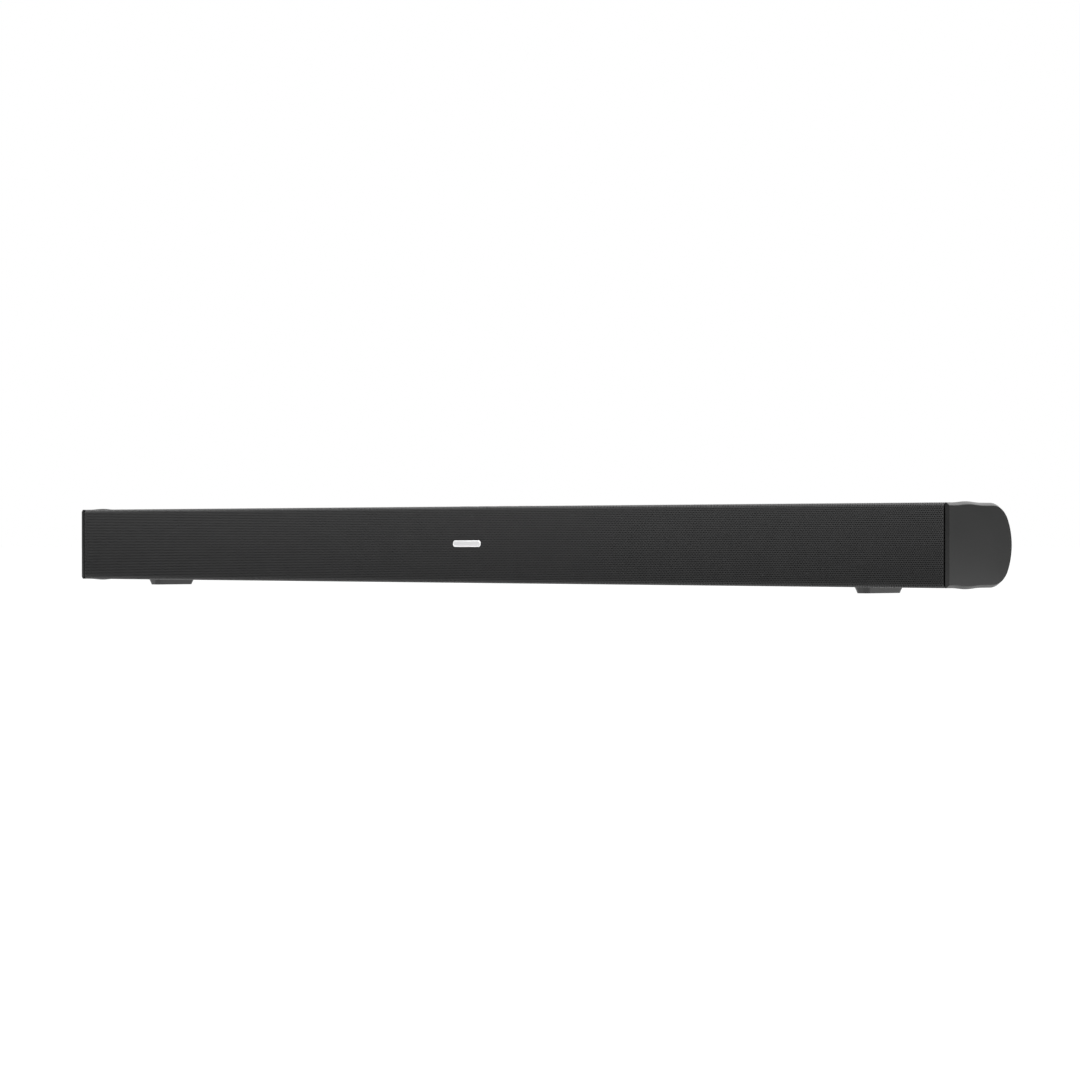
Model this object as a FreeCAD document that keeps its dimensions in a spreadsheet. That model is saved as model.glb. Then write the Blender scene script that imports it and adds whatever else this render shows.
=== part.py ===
import FreeCAD, Part
import math
import os
import re

import Sketcher

# A long, slim soundbar with a D-shaped section. Row frame, in millimetres: X runs along the
# bar, Y from front to back, Z up. The origin is on the table, under the middle of the bar.

SIZES = {
    # overall sizes of the closed bar
    "bar_length": 958, "bar_depth": 72.2, "bar_height": 60, "foot_height": 4.4,
    # D section: flat front, two corner arcs and one back arc
    "corner_radius": 20, "back_radius": 42,
    # walls and sheets
    "shell_wall": 2.5, "cap_thickness": 3.3, "cap_edge_radius": 1.9, "gasket_thickness": 0.5,
    "spigot_wall": 2, "spigot_depth": 8, "fit_gap": 0.2,
    "swell_length": 30, "swell_height": 0.9, "swell_setback": 22.5,
    # perforated steel grille
    "sheet": 0.8, "sheet_bend": 3, "grille_return": 10, "grille_end_gap": 1.5, "frame_strip": 2,
    "peg_radius": 2, "peg_drop": 2.9,
    # baffle: how far it is set back, its thickness and its foam strip
    "baffle_setback": 6.1, "baffle_thickness": 3, "foam": 1, "ledge": 2.5, "baffle_end": 9,
    "boss_width": 7, "boss_reach": 7, "boss_depth": 14,
    # self-tapping screws
    "screw_radius": 1.3, "screw_length": 9, "screw_head_radius": 2.4, "screw_head_height": 1.6,
    "screw_gap": 0.05,
    # end cap tabs
    "tab_reach": 14, "tab_thickness": 3, "tab_setback": 16.1, "tab_width": 9,
    # rubber feet
    "foot_width": 13.6, "foot_depth": 42.5, "foot_front": 8, "foot_place": 392,
    "foot_seat": 0.8, "foot_corner": 4, "foot_taper": 18,
    # woofers
    "woofer_inner": 185, "woofer_outer": 325, "flange": 50, "flange_thickness": 1.5,
    "cone_radius": 18.5, "cone_depth": 7, "cone_skin": 0.6, "roll_width": 3.2, "roll_height": 1.4,
    "coil_radius": 8, "coil_skin": 0.4, "coil_length": 7, "basket_depth": 13, "basket_skin": 1.5,
    "magnet_radius": 18, "magnet_height": 13, "coil_gap": 0.45, "screw_spread": 21.5,
    "damper_radius": 15.5,
    # tweeters
    "tweeter_place": 410, "tweeter_plate": 18, "dome_radius": 9.6, "dome_height": 3.2,
    "tweeter_magnet_radius": 13, "tweeter_magnet_height": 9, "tweeter_screw": 15,
    # recess with the sockets, at the back
    "recess_half": 66, "recess_height": 30, "recess_front": 22, "recess_wall": 2,
    "recess_floor": 4, "panel_thickness": 1.5, "window_half": 57, "window_height": 20,
    # boards
    "board_half": 88, "board_height": 48, "board_thickness": 1.6, "board_place": 8,
    "post_radius": 2.6, "post_place": 62.5, "post_height": 12,
    # sockets
    "socket_proud": 0.5, "dc_place": -46, "optical_place": -23, "aux_place": 0,
    "usb_place": 22, "hdmi_place": 46, "dc_bore": 2.85, "dc_pin": 1.05, "aux_bore": 1.8,
    "pivot_radius": 0.5, "pivot_gap": 0.05,
    # buttons on the top, at the middle of the bar
    "button_pitch": 22, "button_length": 14, "button_width": 7, "button_place": -4,
    "button_proud": 0.4, "button_gap": 0.3, "button_lip": 1.2, "stem_radius": 1,
    "stem_length": 4, "switch_height": 3.4, "switch_side": 6.2, "button_board_drop": 9,
    # badge, sensor and wall inserts
    "badge_length": 31, "badge_height": 5, "badge_thickness": 0.6, "badge_place": 0,
    "badge_rise": 0.8, "lens_radius": 3, "lens_place": 60, "insert_place": 300,
    "insert_radius": 3.2, "insert_bore": 2.1, "insert_length": 8, "insert_face": 8,
    "lead_radius": 1.5, "lead_drop": 19, "lead_bend": 12,
}

doc = FreeCAD.newDocument("soundbar")
sheet = doc.addObject("Spreadsheet::Sheet", "dims")
for row, (alias, size) in enumerate(SIZES.items(), start=1):
    sheet.set(f"A{row}", alias)
    sheet.set(f"B{row}", str(size))
    sheet.setAlias(f"B{row}", alias)
doc.recompute()

NODES = []

# Planes and lines that many pieces share, as formulas of the sheet's values.
FRONT = "(-bar_depth / 2)"
BACK = "(bar_depth / 2)"
MID = "(foot_height + bar_height / 2)"
HALF = "(bar_height / 2)"
CAP_FACE = "(bar_length / 2)"
CAP_BACK = "(bar_length / 2 - cap_thickness)"
SHELL_END = "(bar_length / 2 - cap_thickness - gasket_thickness)"
GRILLE_END = "(bar_length / 2 - cap_thickness - grille_end_gap)"
BAFFLE_FRONT = "(-bar_depth / 2 + baffle_setback)"
BAFFLE_BACK = "(-bar_depth / 2 + baffle_setback + baffle_thickness)"
LEDGE_FRONT = "(-bar_depth / 2 + baffle_setback + baffle_thickness + foam)"
INNER_HALF = "(bar_height / 2 - shell_wall)"
BAFFLE_HALF = "(bar_height / 2 - shell_wall - fit_gap)"
PEG_ROW = "(bar_height / 2 - shell_wall - peg_drop)"
BAFFLE_LONG = "(bar_length / 2 - cap_thickness - gasket_thickness - baffle_end)"
TAB_FRONT = "(-bar_depth / 2 + tab_setback)"
TAB_BACK = "(-bar_depth / 2 + tab_setback + tab_thickness)"
TOP = "(foot_height + bar_height)"
BOARD_BACK = "board_place"
SOCKET_FACE = "(recess_front + panel_thickness + socket_proud)"
PANEL_FACE = "(recess_front + panel_thickness)"
POLE_FRONT = "(basket_depth + 0.5)"


def bound(formula):
    """The formula as an expression that reads the sheet."""
    return re.sub(r"[a-z_]{3,}", lambda w: "dims." + w.group() if w.group() in SIZES else w.group(),
                  formula)


def value(formula):
    """The formula's number."""
    return float(sheet.evalExpression(bound(formula)))


def bind(thing, **formulas):
    for name, formula in formulas.items():
        thing.setExpression(name, bound(formula))
    return thing


def place(thing, x="0", y="0", z="0"):
    for axis, formula in zip("xyz", (x, y, z)):
        thing.setExpression(f"Placement.Base.{axis}", bound(formula))
    return thing


def block(name, x, y, z):
    """A box between two formulas along each axis."""
    box = doc.addObject("Part::Box", name)
    for size, (low, high) in zip(("Length", "Width", "Height"), (x, y, z)):
        box.setExpression(size, bound(f"({high}) - ({low})"))
    return place(box, x[0], y[0], z[0])


TURNS = {
    "x": FreeCAD.Rotation(FreeCAD.Vector(0, 1, 0), 90),
    "y": FreeCAD.Rotation(FreeCAD.Vector(1, 0, 0), -90),
    "z": FreeCAD.Rotation(),
}


def rod(name, radius, length, x, y, z, along):
    """A cylinder from the point x, y, z, growing along +x, +y or +z."""
    cylinder = doc.addObject("Part::Cylinder", name)
    cylinder.Placement = FreeCAD.Placement(FreeCAD.Vector(), TURNS[along])
    bind(cylinder, Radius=radius, Height=length)
    return place(cylinder, x, y, z)


def fuse(name, pieces):
    if len(pieces) == 1:
        return pieces[0]
    joined = doc.addObject("Part::MultiFuse", name)
    joined.Shapes = pieces
    return joined


def cut(name, base, tools):
    left = doc.addObject("Part::Cut", name)
    left.Base = base
    left.Tool = fuse(name + "_tools", tools)
    return left


def group(name, pieces):
    """Several separate solids in one object."""
    together = doc.addObject("Part::Compound", name)
    together.Links = pieces
    return together


def node(thing, label):
    """Names the finished piece and lists it for export."""
    thing.Label = label
    NODES.append(thing)
    return thing


def new_body(name):
    return doc.addObject("PartDesign::Body", name)


def new_sketch(body, name, plane, offset="0"):
    sketch = body.newObject("Sketcher::SketchObject", name)
    support = next(f for f in body.Origin.OriginFeatures if f.Role == plane)
    sketch.AttachmentSupport = [(support, "")]
    sketch.MapMode = "FlatFace"
    sketch.setExpression("AttachmentOffset.Base.z", bound(offset))
    return sketch


def limit(sketch, kind, *where, formula):
    """Adds one dimension to the sketch and ties it to its formula."""
    index = sketch.addConstraint(Sketcher.Constraint(kind, *where, value(formula)))
    sketch.setExpression(f"Constraints[{index}]", bound(formula))


def outline(sketch, points, bulges=None):
    """A closed outline through points given as formula pairs. An edge listed in bulges is an
    arc: its entry holds a formula pair for the arc's middle point and one for its radius."""
    bulges = bulges or {}
    spots = [FreeCAD.Vector(value(x), value(y), 0) for x, y in points]
    first = sketch.GeometryCount
    for i, spot in enumerate(spots):
        after = spots[(i + 1) % len(spots)]
        if i in bulges:
            middle, radius = bulges[i]
            crown = FreeCAD.Vector(value(middle[0]), value(middle[1]), 0)
            sketch.addGeometry(Part.Arc(spot, crown, after), False)
        else:
            sketch.addGeometry(Part.LineSegment(spot, after), False)

    def end_near(geometry, spot):
        start = sketch.getPoint(geometry, 1)
        finish = sketch.getPoint(geometry, 2)
        return 1 if (start - spot).Length < (finish - spot).Length else 2

    for i in range(len(spots)):
        geometry = first + i
        follower = first + (i + 1) % len(spots)
        corner = spots[(i + 1) % len(spots)]
        sketch.addConstraint(Sketcher.Constraint(
            "Coincident", geometry, end_near(geometry, corner), follower, end_near(follower, corner)))
    for i, (x, y) in enumerate(points):
        geometry = first + i
        end = end_near(geometry, spots[i])
        limit(sketch, "DistanceX", -1, 1, geometry, end, formula=x)
        limit(sketch, "DistanceY", -1, 1, geometry, end, formula=y)
    for i, (_, radius) in bulges.items():
        limit(sketch, "Radius", first + i, formula=radius)


def d_outline(sketch, inset, front, swelled=False):
    """The bar's D section, set in by a wall, on the YZ plane. Sketch x is Y and sketch y is Z.
    The corner arcs touch the flat top and bottom and the back arc smoothly."""
    half = f"({HALF} - ({inset}))"
    corner = f"(corner_radius - ({inset}))"
    back = f"(back_radius - ({inset}))"
    back_centre = f"({BACK} - back_radius)"
    reach = f"sqrt((back_radius - corner_radius)^2 - ({HALF} - corner_radius)^2)"
    bend = f"({back_centre} + {reach})"
    slope = f"(({HALF} - corner_radius) / (back_radius - corner_radius))"
    run = f"({reach} / (back_radius - corner_radius))"
    touch_y = f"({back_centre} + {back} * {run})"
    touch_z = f"({back} * {slope})"
    lean = f"((1 + {slope}) / 2)"
    crown_y = f"({bend} + {corner} * sqrt(1 - {lean}))"
    crown_z = f"({HALF} - corner_radius + {corner} * sqrt({lean}))"
    top = [(front, f"{MID} + {half}")]
    bulges = {}
    if swelled:
        middle = f"({FRONT} + swell_setback)"
        chord = f"((swell_length^2 / 4 + swell_height^2) / (2 * swell_height))"
        top.append((f"{middle} - swell_length / 2", f"{MID} + {half}"))
        top.append((f"{middle} + swell_length / 2", f"{MID} + {half}"))
    top.append((bend, f"{MID} + {half}"))
    top.append((touch_y, f"{MID} + {touch_z}"))
    bottom = [(y, z.replace(f"{MID} +", f"{MID} -")) for y, z in reversed(top)]
    points = top + bottom
    last = len(top)
    bulges[last - 2] = ((crown_y, f"{MID} + {crown_z}"), corner)
    bulges[last - 1] = ((f"{back_centre} + {back}", MID), back)
    bulges[last] = ((crown_y, f"{MID} - {crown_z}"), corner)
    if swelled:
        bulges[1] = ((middle, f"{MID} + {half} + swell_height"), chord)
        bulges[len(points) - 3] = ((middle, f"{MID} - {half} - swell_height"), chord)
    outline(sketch, points, bulges)


def pad(body, sketch, length, both=False, back=False, taper=None):
    feature = body.newObject("PartDesign::Pad", sketch.Name + "_pad")
    feature.Profile = sketch
    feature.SideType = "Symmetric" if both else "One side"
    feature.Reversed = back
    bind(feature, Length=length)
    if taper:
        bind(feature, TaperAngle=taper)
    return feature


def prism(name, inset, front, start, length, both=False, swelled=False):
    """A bar of D section: along both ways from the middle, or from x = start towards +X."""
    body = new_body(name)
    sketch = new_sketch(body, name + "_section", "YZ_Plane", start)
    d_outline(sketch, inset, front, swelled)
    pad(body, sketch, length, both)
    return body


def spin(name, points, bulges=None):
    """A round piece turned about its own Y axis. Each point is a radius and a Y."""
    body = new_body(name)
    sketch = new_sketch(body, name + "_section", "XY_Plane")
    outline(sketch, points, bulges)
    turned = body.newObject("PartDesign::Revolution", name + "_turned")
    turned.Profile = sketch
    turned.ReferenceAxis = (sketch, ["V_Axis"])
    turned.Angle = 360
    return body


def round_edges(body, name, radius, chosen):
    """Rounds the edges of the body's last feature that the test picks."""
    doc.recompute()
    base = body.Tip
    picked = [f"Edge{i}" for i, edge in enumerate(base.Shape.Edges, start=1) if chosen(edge)]
    feature = body.newObject("PartDesign::Fillet", name)
    feature.Base = (base, picked)
    bind(feature, Radius=radius)
    return feature


def screw(name, x, y, z, along="y", length="screw_length"):
    """A pan-head screw driven towards +along; y is the plane its head rests on."""
    head = rod(name + "_head", "screw_head_radius", "screw_head_height", x,
               f"({y}) - screw_head_height" if along == "y" else y, z, along)
    shank = rod(name + "_shank", "screw_radius", f"({length}) + screw_head_height / 2", x,
                f"({y}) - screw_head_height / 2" if along == "y" else y, z, along)
    return fuse(name, [head, shank])


def screw_hole(name, x, y, z, depth):
    return rod(name, "screw_radius + screw_gap", depth, x, y, z, "y")


SIDES = {"left": "-1", "right": "1"}
WOOFERS = {"left_outer": "(-woofer_outer)", "left_inner": "(-woofer_inner)",
           "right_inner": "woofer_inner", "right_outer": "woofer_outer"}
TWEETERS = {"left": "(-tweeter_place)", "right": "tweeter_place"}
BUTTONS = {"power": -1.5, "source": -0.5, "volume_down": 0.5, "volume_up": 1.5}
SCREW_COLUMNS = ["(woofer_inner - 75)", "((woofer_inner + woofer_outer) / 2)",
                 "((woofer_outer + tweeter_place) / 2)", "(tweeter_place + 30)"]
PEG_COLUMNS = ["(woofer_inner - 65)", "((woofer_inner + woofer_outer) / 2 + 15)",
               "(tweeter_place + 10)"]


def signed(side, formula):
    return f"({side} * ({formula}))"


def span(side, near, far):
    """The X range between two distances from the middle, on one side, low end first."""
    low, high = (near, far) if side == "1" else (f"-({far})", f"-({near})")
    return (low, high)


def baffle_screw_places():
    """Screws along the top and bottom edges of the baffle, clear of the drivers."""
    columns = ["0"] + [f"({side} * {x})" for x in SCREW_COLUMNS for side in (-1, 1)]
    for i, x in enumerate(columns):
        for way, row_name in (("+", "top"), ("-", "low")):
            yield f"{i}_{row_name}", x, f"({MID} {way} ({INNER_HALF} - boss_reach / 2))"


def cap_screw_places():
    for side, sign in SIDES.items():
        x = signed(sign, f"{SHELL_END} - spigot_depth - tab_reach / 2")
        for way, name in (("+", "top"), ("-", "low")):
            yield f"{side}_{name}", x, f"({MID} {way} ({INNER_HALF} - boss_reach / 2))"


def insert_places():
    for side, sign in SIDES.items():
        yield side, signed(sign, "insert_place")


def rear_shell():
    """Moulded D-section shell, open at the front and at both ends. It holds every other piece."""
    skin = prism("shell_skin", "0", BAFFLE_FRONT, "0", f"2 * {SHELL_END}", both=True)
    inside = new_sketch(skin, "shell_inside", "YZ_Plane")
    d_outline(inside, "shell_wall", FRONT)
    hollow = skin.newObject("PartDesign::Pocket", "shell_hollow")
    hollow.Profile = inside
    hollow.Type = "ThroughAll"
    hollow.SideType = "Symmetric"
    added = [skin]
    for way, name in (("+", "top"), ("-", "low")):
        near = f"{MID} {way} ({INNER_HALF} - ledge)"
        far = f"{MID} {way} ({INNER_HALF} + shell_wall / 2)"
        low, high = (near, far) if way == "+" else (far, near)
        added.append(block(f"ledge_{name}", (f"-{BAFFLE_LONG}", BAFFLE_LONG),
                           (LEDGE_FRONT, f"{LEDGE_FRONT} + ledge"), (low, high)))
    for name, x, z in baffle_screw_places():
        added.append(boss(f"boss_{name}", x, z, LEDGE_FRONT, "boss_depth"))
    for name, x, z in cap_screw_places():
        added.append(boss(f"cap_boss_{name}", x, z, TAB_BACK, "screw_length"))
    envelope = prism("recess_envelope", "0", "0", "0", "2 * (recess_half + recess_wall)", both=True)
    tub = block("recess_tub", ("-recess_half - recess_wall", "recess_half + recess_wall"),
                ("recess_front - recess_floor", BACK),
                (f"{MID} - recess_height / 2 - recess_wall", f"{MID} + recess_height / 2 + recess_wall"))
    walls = doc.addObject("Part::Common", "recess_walls")
    walls.Base = envelope
    walls.Tool = tub
    added.append(walls)
    for name, x, z in post_places():
        added.append(rod(f"post_{name}", "post_radius",
                         "recess_front - recess_floor - board_place + 1", x, BOARD_BACK, z, "y"))
    for side, x in insert_places():
        added.append(rod(f"insert_boss_{side}", "insert_radius + 2", "insert_length + 4", x,
                         f"{BACK} - shell_wall - insert_length - 2", MID, "y"))
    gone = [
        block("recess_hollow", ("-recess_half", "recess_half"), ("recess_front", f"{BACK} + 1"),
              (f"{MID} - recess_height / 2", f"{MID} + recess_height / 2")),
        block("recess_window", ("-window_half", "window_half"), ("0", "recess_front + 1"),
              (f"{MID} - window_height / 2", f"{MID} + window_height / 2")),
    ]
    for way, name in (("+", "top"), ("-", "low")):
        near = f"{MID} {way} ({HALF} - sheet - fit_gap / 2)"
        far = f"{MID} {way} ({HALF} + 1)"
        low, high = (near, far) if way == "+" else (far, near)
        gone.append(block(f"rebate_{name}", (f"-{CAP_FACE}", CAP_FACE),
                          (f"{FRONT}", f"{FRONT} + grille_return + fit_gap"), (low, high)))
    for name, x, z in baffle_screw_places():
        gone.append(screw_hole(f"boss_hole_{name}", x, BAFFLE_BACK, z, "boss_depth - 2"))
    for name, x, z in cap_screw_places():
        gone.append(screw_hole(f"cap_hole_{name}", x, TAB_BACK, z, "screw_length - 2"))
    for name, x, z in post_places():
        gone.append(screw_hole(f"post_hole_{name}", x, f"{BOARD_BACK} - 1", z, "screw_length"))
    for name, x, z in panel_screw_places():
        gone.append(screw_hole(f"panel_hole_{name}", x, "recess_front - recess_floor - 1", z,
                               "recess_floor + 2"))
    for side, x in insert_places():
        gone.append(rod(f"insert_seat_{side}", "insert_radius", "insert_length + 10", x,
                        f"{BACK} - 1 - insert_length", MID, "y"))
        gone.append(rod(f"insert_flat_{side}", "insert_face", "10", x, f"{BACK} - 1", MID, "y"))
    for name, offset in BUTTONS.items():
        gone.append(pill(f"{name}_slot", f"{offset} * button_pitch", "button_length / 2 + button_gap",
                         "button_width / 2 + button_gap", f"{TOP} - shell_wall - 1", "shell_wall + 2"))
    for side, sign in SIDES.items():
        gone.append(place(foot_seat(f"{side}_foot_seat"), signed(sign, "foot_place"), "0", "0"))
    node(cut("rear_shell", fuse("shell_with_bosses", added), gone), "rear_shell")


def boss(name, x, z, y, depth):
    """A square pillar on the shell's wall that a screw bites into."""
    return block(name, (f"{x} - boss_width / 2", f"{x} + boss_width / 2"), (y, f"{y} + {depth}"),
                 boss_height(z))


def boss_height(z):
    """From the free side of a boss to the middle of the wall it grows from."""
    if f"{MID} +" in z:
        return (f"{MID} + {INNER_HALF} - boss_reach", f"{MID} + {INNER_HALF} + shell_wall / 2")
    return (f"{MID} - {INNER_HALF} - shell_wall / 2", f"{MID} - {INNER_HALF} + boss_reach")


def pill(name, x, half_length, half_width, z, height):
    """An upright slab with round ends, long along X, on the buttons' line."""
    straight = f"(({half_length}) - ({half_width}))"
    middle = block(name + "_middle", (f"{x} - {straight}", f"{x} + {straight}"),
                   (f"button_place - ({half_width})", f"button_place + {half_width}"),
                   (z, f"{z} + {height}"))
    ends = [rod(f"{name}_end_{way}", half_width, height, f"{x} + {way} * {straight}",
                "button_place", z, "z") for way in ("-1", "1")]
    return fuse(name, [middle] + ends)


def foot_outline(body, name, grow, front="foot_front"):
    """The foot's rounded rectangle, in its own place along X, flat on the table side."""
    wide = f"(foot_width / 2 + {grow})"
    near = f"({FRONT} + {front} - ({grow}))"
    far = f"({FRONT} + foot_front + foot_depth + {grow})"
    sketch = new_sketch(body, name + "_outline", "XY_Plane", "foot_height")
    outline(sketch, [(f"-{wide}", near), (wide, near), (wide, far), (f"-{wide}", far)])
    return sketch


# The seat starts behind the grille's return, which the front of the foot lies under.
SEAT_FRONT = "grille_return + 2 * fit_gap"


def foot_seat(name):
    body = new_body(name)
    pad(body, foot_outline(body, name, "fit_gap", SEAT_FRONT), "foot_seat")
    return body


def post_places():
    for i, (side, way) in enumerate((a, b) for a in ("-1", "1") for b in ("-", "+")):
        yield i, f"({side} * post_place)", f"({MID} {way} post_height)"


def panel_screw_places():
    for i, (side, way) in enumerate((a, b) for a in ("-1", "1") for b in ("-", "+")):
        yield i, f"({side} * (window_half + 4.5))", f"({MID} {way} 6)"


def end_cap(side, sign):
    """Moulded end plate with a spigot that plugs into the shell and two screw tabs."""
    plate = prism(f"{side}_cap_plate", "0", FRONT,
                  CAP_BACK if sign == "1" else f"-{CAP_FACE}", "cap_thickness", swelled=True)
    face = value(CAP_FACE) * float(sign)

    def on_face(edge):
        box = edge.BoundBox
        return abs(box.XMin - face) < 1e-4 and abs(box.XMax - face) < 1e-4

    round_edges(plate, f"{side}_cap_edge", "cap_edge_radius", on_face)
    inset = "shell_wall + fit_gap"
    deep = "(spigot_depth + gasket_thickness)"
    start = f"{CAP_BACK} - {deep}" if sign == "1" else f"-{CAP_BACK}"
    solid = prism(f"{side}_spigot", inset, BAFFLE_FRONT, start, deep)
    bore = prism(f"{side}_spigot_bore", f"{inset} + spigot_wall", f"{BAFFLE_FRONT} + spigot_wall",
                 start, deep)
    ring = cut(f"{side}_spigot_ring", solid, [bore])
    added = [plate, ring]
    gone = []
    for way, name in (("+", "top"), ("-", "low")):
        near = f"{MID} {way} ({INNER_HALF} - fit_gap - tab_width)"
        far = f"{MID} {way} ({INNER_HALF} - fit_gap)"
        added.append(block(f"{side}_tab_{name}",
                           span(sign, f"{SHELL_END} - spigot_depth - tab_reach", SHELL_END),
                           (TAB_FRONT, TAB_BACK), (near, far) if way == "+" else (far, near)))
    for name, x, z in cap_screw_places():
        if name.startswith(side):
            gone.append(screw_hole(f"tab_hole_{name}", x, f"{TAB_FRONT} - 1", z, "tab_thickness + 2"))
    node(cut(f"{side}_end_cap", fuse(f"{side}_cap_solid", added), gone), f"{side}_end_cap")


def cap_gasket(side, sign):
    """Thin foam ring that seals the joint between the shell and the end cap."""
    start = SHELL_END if sign == "1" else f"-{CAP_BACK}"
    ring = prism(f"{side}_gasket_disc", "fit_gap", f"{BAFFLE_FRONT} + fit_gap", start,
                 "gasket_thickness")
    hole = prism(f"{side}_gasket_hole", "shell_wall", BAFFLE_FRONT + " - 1", start,
                 "gasket_thickness")
    rebate = []
    for way, name in (("+", "top"), ("-", "low")):
        near = f"{MID} {way} ({HALF} - sheet - fit_gap)"
        far = f"{MID} {way} ({HALF} + 1)"
        low, high = (near, far) if way == "+" else (far, near)
        rebate.append(block(f"{side}_gasket_rebate_{name}", (f"-{CAP_FACE}", CAP_FACE),
                            (FRONT, f"{FRONT} + grille_return + fit_gap"), (low, high)))
    node(cut(f"{side}_cap_gasket", ring, [hole] + rebate), f"{side}_cap_gasket")


def front_baffle():
    """Moulded board that closes the shell's mouth and carries the drivers."""
    plate = block("baffle_plate", (f"-{BAFFLE_LONG}", BAFFLE_LONG), (BAFFLE_FRONT, BAFFLE_BACK),
                  (f"{MID} - {BAFFLE_HALF}", f"{MID} + {BAFFLE_HALF}"))
    gone = []
    for name, x in WOOFERS.items():
        gone.append(rod(f"{name}_port", "flange / 2 - 1.5", "baffle_thickness + 2", x,
                        f"{BAFFLE_FRONT} - 1", MID, "y"))
    for name, x in TWEETERS.items():
        gone.append(rod(f"{name}_tweeter_port", "tweeter_magnet_radius + 0.5",
                        "baffle_thickness + 2", x, f"{BAFFLE_FRONT} - 1", MID, "y"))
    for name, x, z in driver_screw_places():
        gone.append(screw_hole(f"driver_hole_{name}", x, f"{BAFFLE_FRONT} - 1", z,
                               "baffle_thickness + 2"))
    for name, x, z in baffle_screw_places():
        gone.append(screw_hole(f"baffle_hole_{name}", x, f"{BAFFLE_FRONT} - 1", z,
                               "baffle_thickness + 2"))
    for name, x, z in peg_places():
        gone.append(rod(f"peg_hole_{name}", "peg_radius + fit_gap / 2", "baffle_thickness + 2", x,
                        f"{BAFFLE_FRONT} - 1", z, "y"))
    gone.append(rod("lens_hole", "lens_radius + fit_gap", "baffle_thickness + 2", "lens_place",
                    f"{BAFFLE_FRONT} - 1", MID, "y"))
    node(cut("front_baffle", plate, gone), "front_baffle")


def baffle_gasket():
    """Two foam strips between the baffle and the shell's ledges."""
    strips = []
    for way, name in (("+", "top"), ("-", "low")):
        near = f"{MID} {way} ({INNER_HALF} - ledge)"
        far = f"{MID} {way} ({BAFFLE_HALF})"
        low, high = (near, far) if way == "+" else (far, near)
        strip = block(f"strip_{name}", (f"-{BAFFLE_LONG}", BAFFLE_LONG), (BAFFLE_BACK, LEDGE_FRONT),
                      (low, high))
        holes = [rod(f"strip_hole_{place_name}", "screw_radius + fit_gap", "foam + 2", x,
                     f"{BAFFLE_BACK} - 1", z, "y")
                 for place_name, x, z in baffle_screw_places() if place_name.endswith(name)]
        strips.append(cut(f"strip_{name}_cut", strip, holes))
    node(group("baffle_gasket", strips), "baffle_gasket")


def peg_places():
    columns = [f"({side} * {x})" for x in PEG_COLUMNS for side in (-1, 1)]
    for i, x in enumerate(columns):
        for way, row_name in (("+", "top"), ("-", "low")):
            yield f"{i}_{row_name}", x, f"({MID} {way} {PEG_ROW})"


def front_grille():
    """Perforated steel sheet folded into a channel. It is the bar's whole front."""
    body = new_body("grille_channel")
    section = new_sketch(body, "grille_section", "YZ_Plane")
    high, inner_high = f"{MID} + {HALF}", f"{MID} + {HALF} - sheet"
    low, inner_low = f"{MID} - {HALF}", f"{MID} - {HALF} + sheet"
    rim, inner = f"{FRONT} + grille_return", f"{FRONT} + sheet"
    outline(section, [(FRONT, low), (FRONT, high), (rim, high), (rim, inner_high),
                      (inner, inner_high), (inner, inner_low), (rim, inner_low), (rim, low)])
    pad(body, section, f"2 * {GRILLE_END}", both=True)
    bend(body, "grille_outer_bend", "sheet_bend", FRONT, HALF)
    bend(body, "grille_inner_bend", "sheet_bend - sheet", inner, f"{HALF} - sheet")
    node(body, "front_grille")


def bend(body, name, radius, y, rise):
    """Rounds the two long edges of a channel at this Y and this far above and below its middle."""

    def at_corner(edge):
        box = edge.BoundBox
        flat = box.YLength < 1e-4 and box.ZLength < 1e-4
        return flat and abs(box.YMin - value(y)) < 1e-4 and \
            abs(abs(box.ZMin - value(MID)) - value(rise)) < 1e-4

    round_edges(body, name, radius, at_corner)


def grille_frame():
    """Moulded rim glued inside the grille, with pegs that push into the baffle."""
    rim_front = f"({FRONT} + sheet)"
    rim_back = f"({FRONT} + sheet + frame_strip)"
    outer = f"({HALF} - sheet_bend)"
    long_end = f"({GRILLE_END} - 2)"
    slab = block("rim_slab", (f"-{long_end}", long_end), (rim_front, rim_back),
                 (f"{MID} - {outer}", f"{MID} + {outer}"))
    hole = block("rim_hole", (f"-{long_end} + 4", f"{long_end} - 4"),
                 (f"{rim_front} - 1", f"{rim_back} + 1"),
                 (f"{MID} - {PEG_ROW} + 1.6", f"{MID} + {PEG_ROW} - 1.6"))
    rim = cut("rim_ring", slab, [hole])
    pegs = [rod(f"peg_{name}", "peg_radius", f"{BAFFLE_BACK} - {rim_back} + 0.5", x,
                f"{rim_back} - 0.5", z, "y") for name, x, z in peg_places()]
    stripped = [rod(f"rim_notch_{name}", "screw_head_radius + 0.4", "frame_strip + 2", x,
                    f"{rim_front} - 1", z, "y") for name, x, z in baffle_screw_places()]
    node(cut("grille_frame", fuse("rim_with_pegs", [rim] + pegs), stripped), "grille_frame")


def badge():
    """Small blank metal badge on the front of the grille, with round ends."""
    straight = "(badge_length / 2 - badge_height / 2)"
    z = f"({MID} + badge_rise)"
    y = f"{FRONT} - badge_thickness"
    bar = block("badge_bar", (f"badge_place - {straight}", f"badge_place + {straight}"),
                (y, FRONT), (f"{z} - badge_height / 2", f"{z} + badge_height / 2"))
    ends = [rod(f"badge_end_{way}", "badge_height / 2", "badge_thickness",
                f"badge_place + {way} * {straight}", y, z, "y") for way in ("-1", "1")]
    node(fuse("badge", [bar] + ends), "badge")


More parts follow.
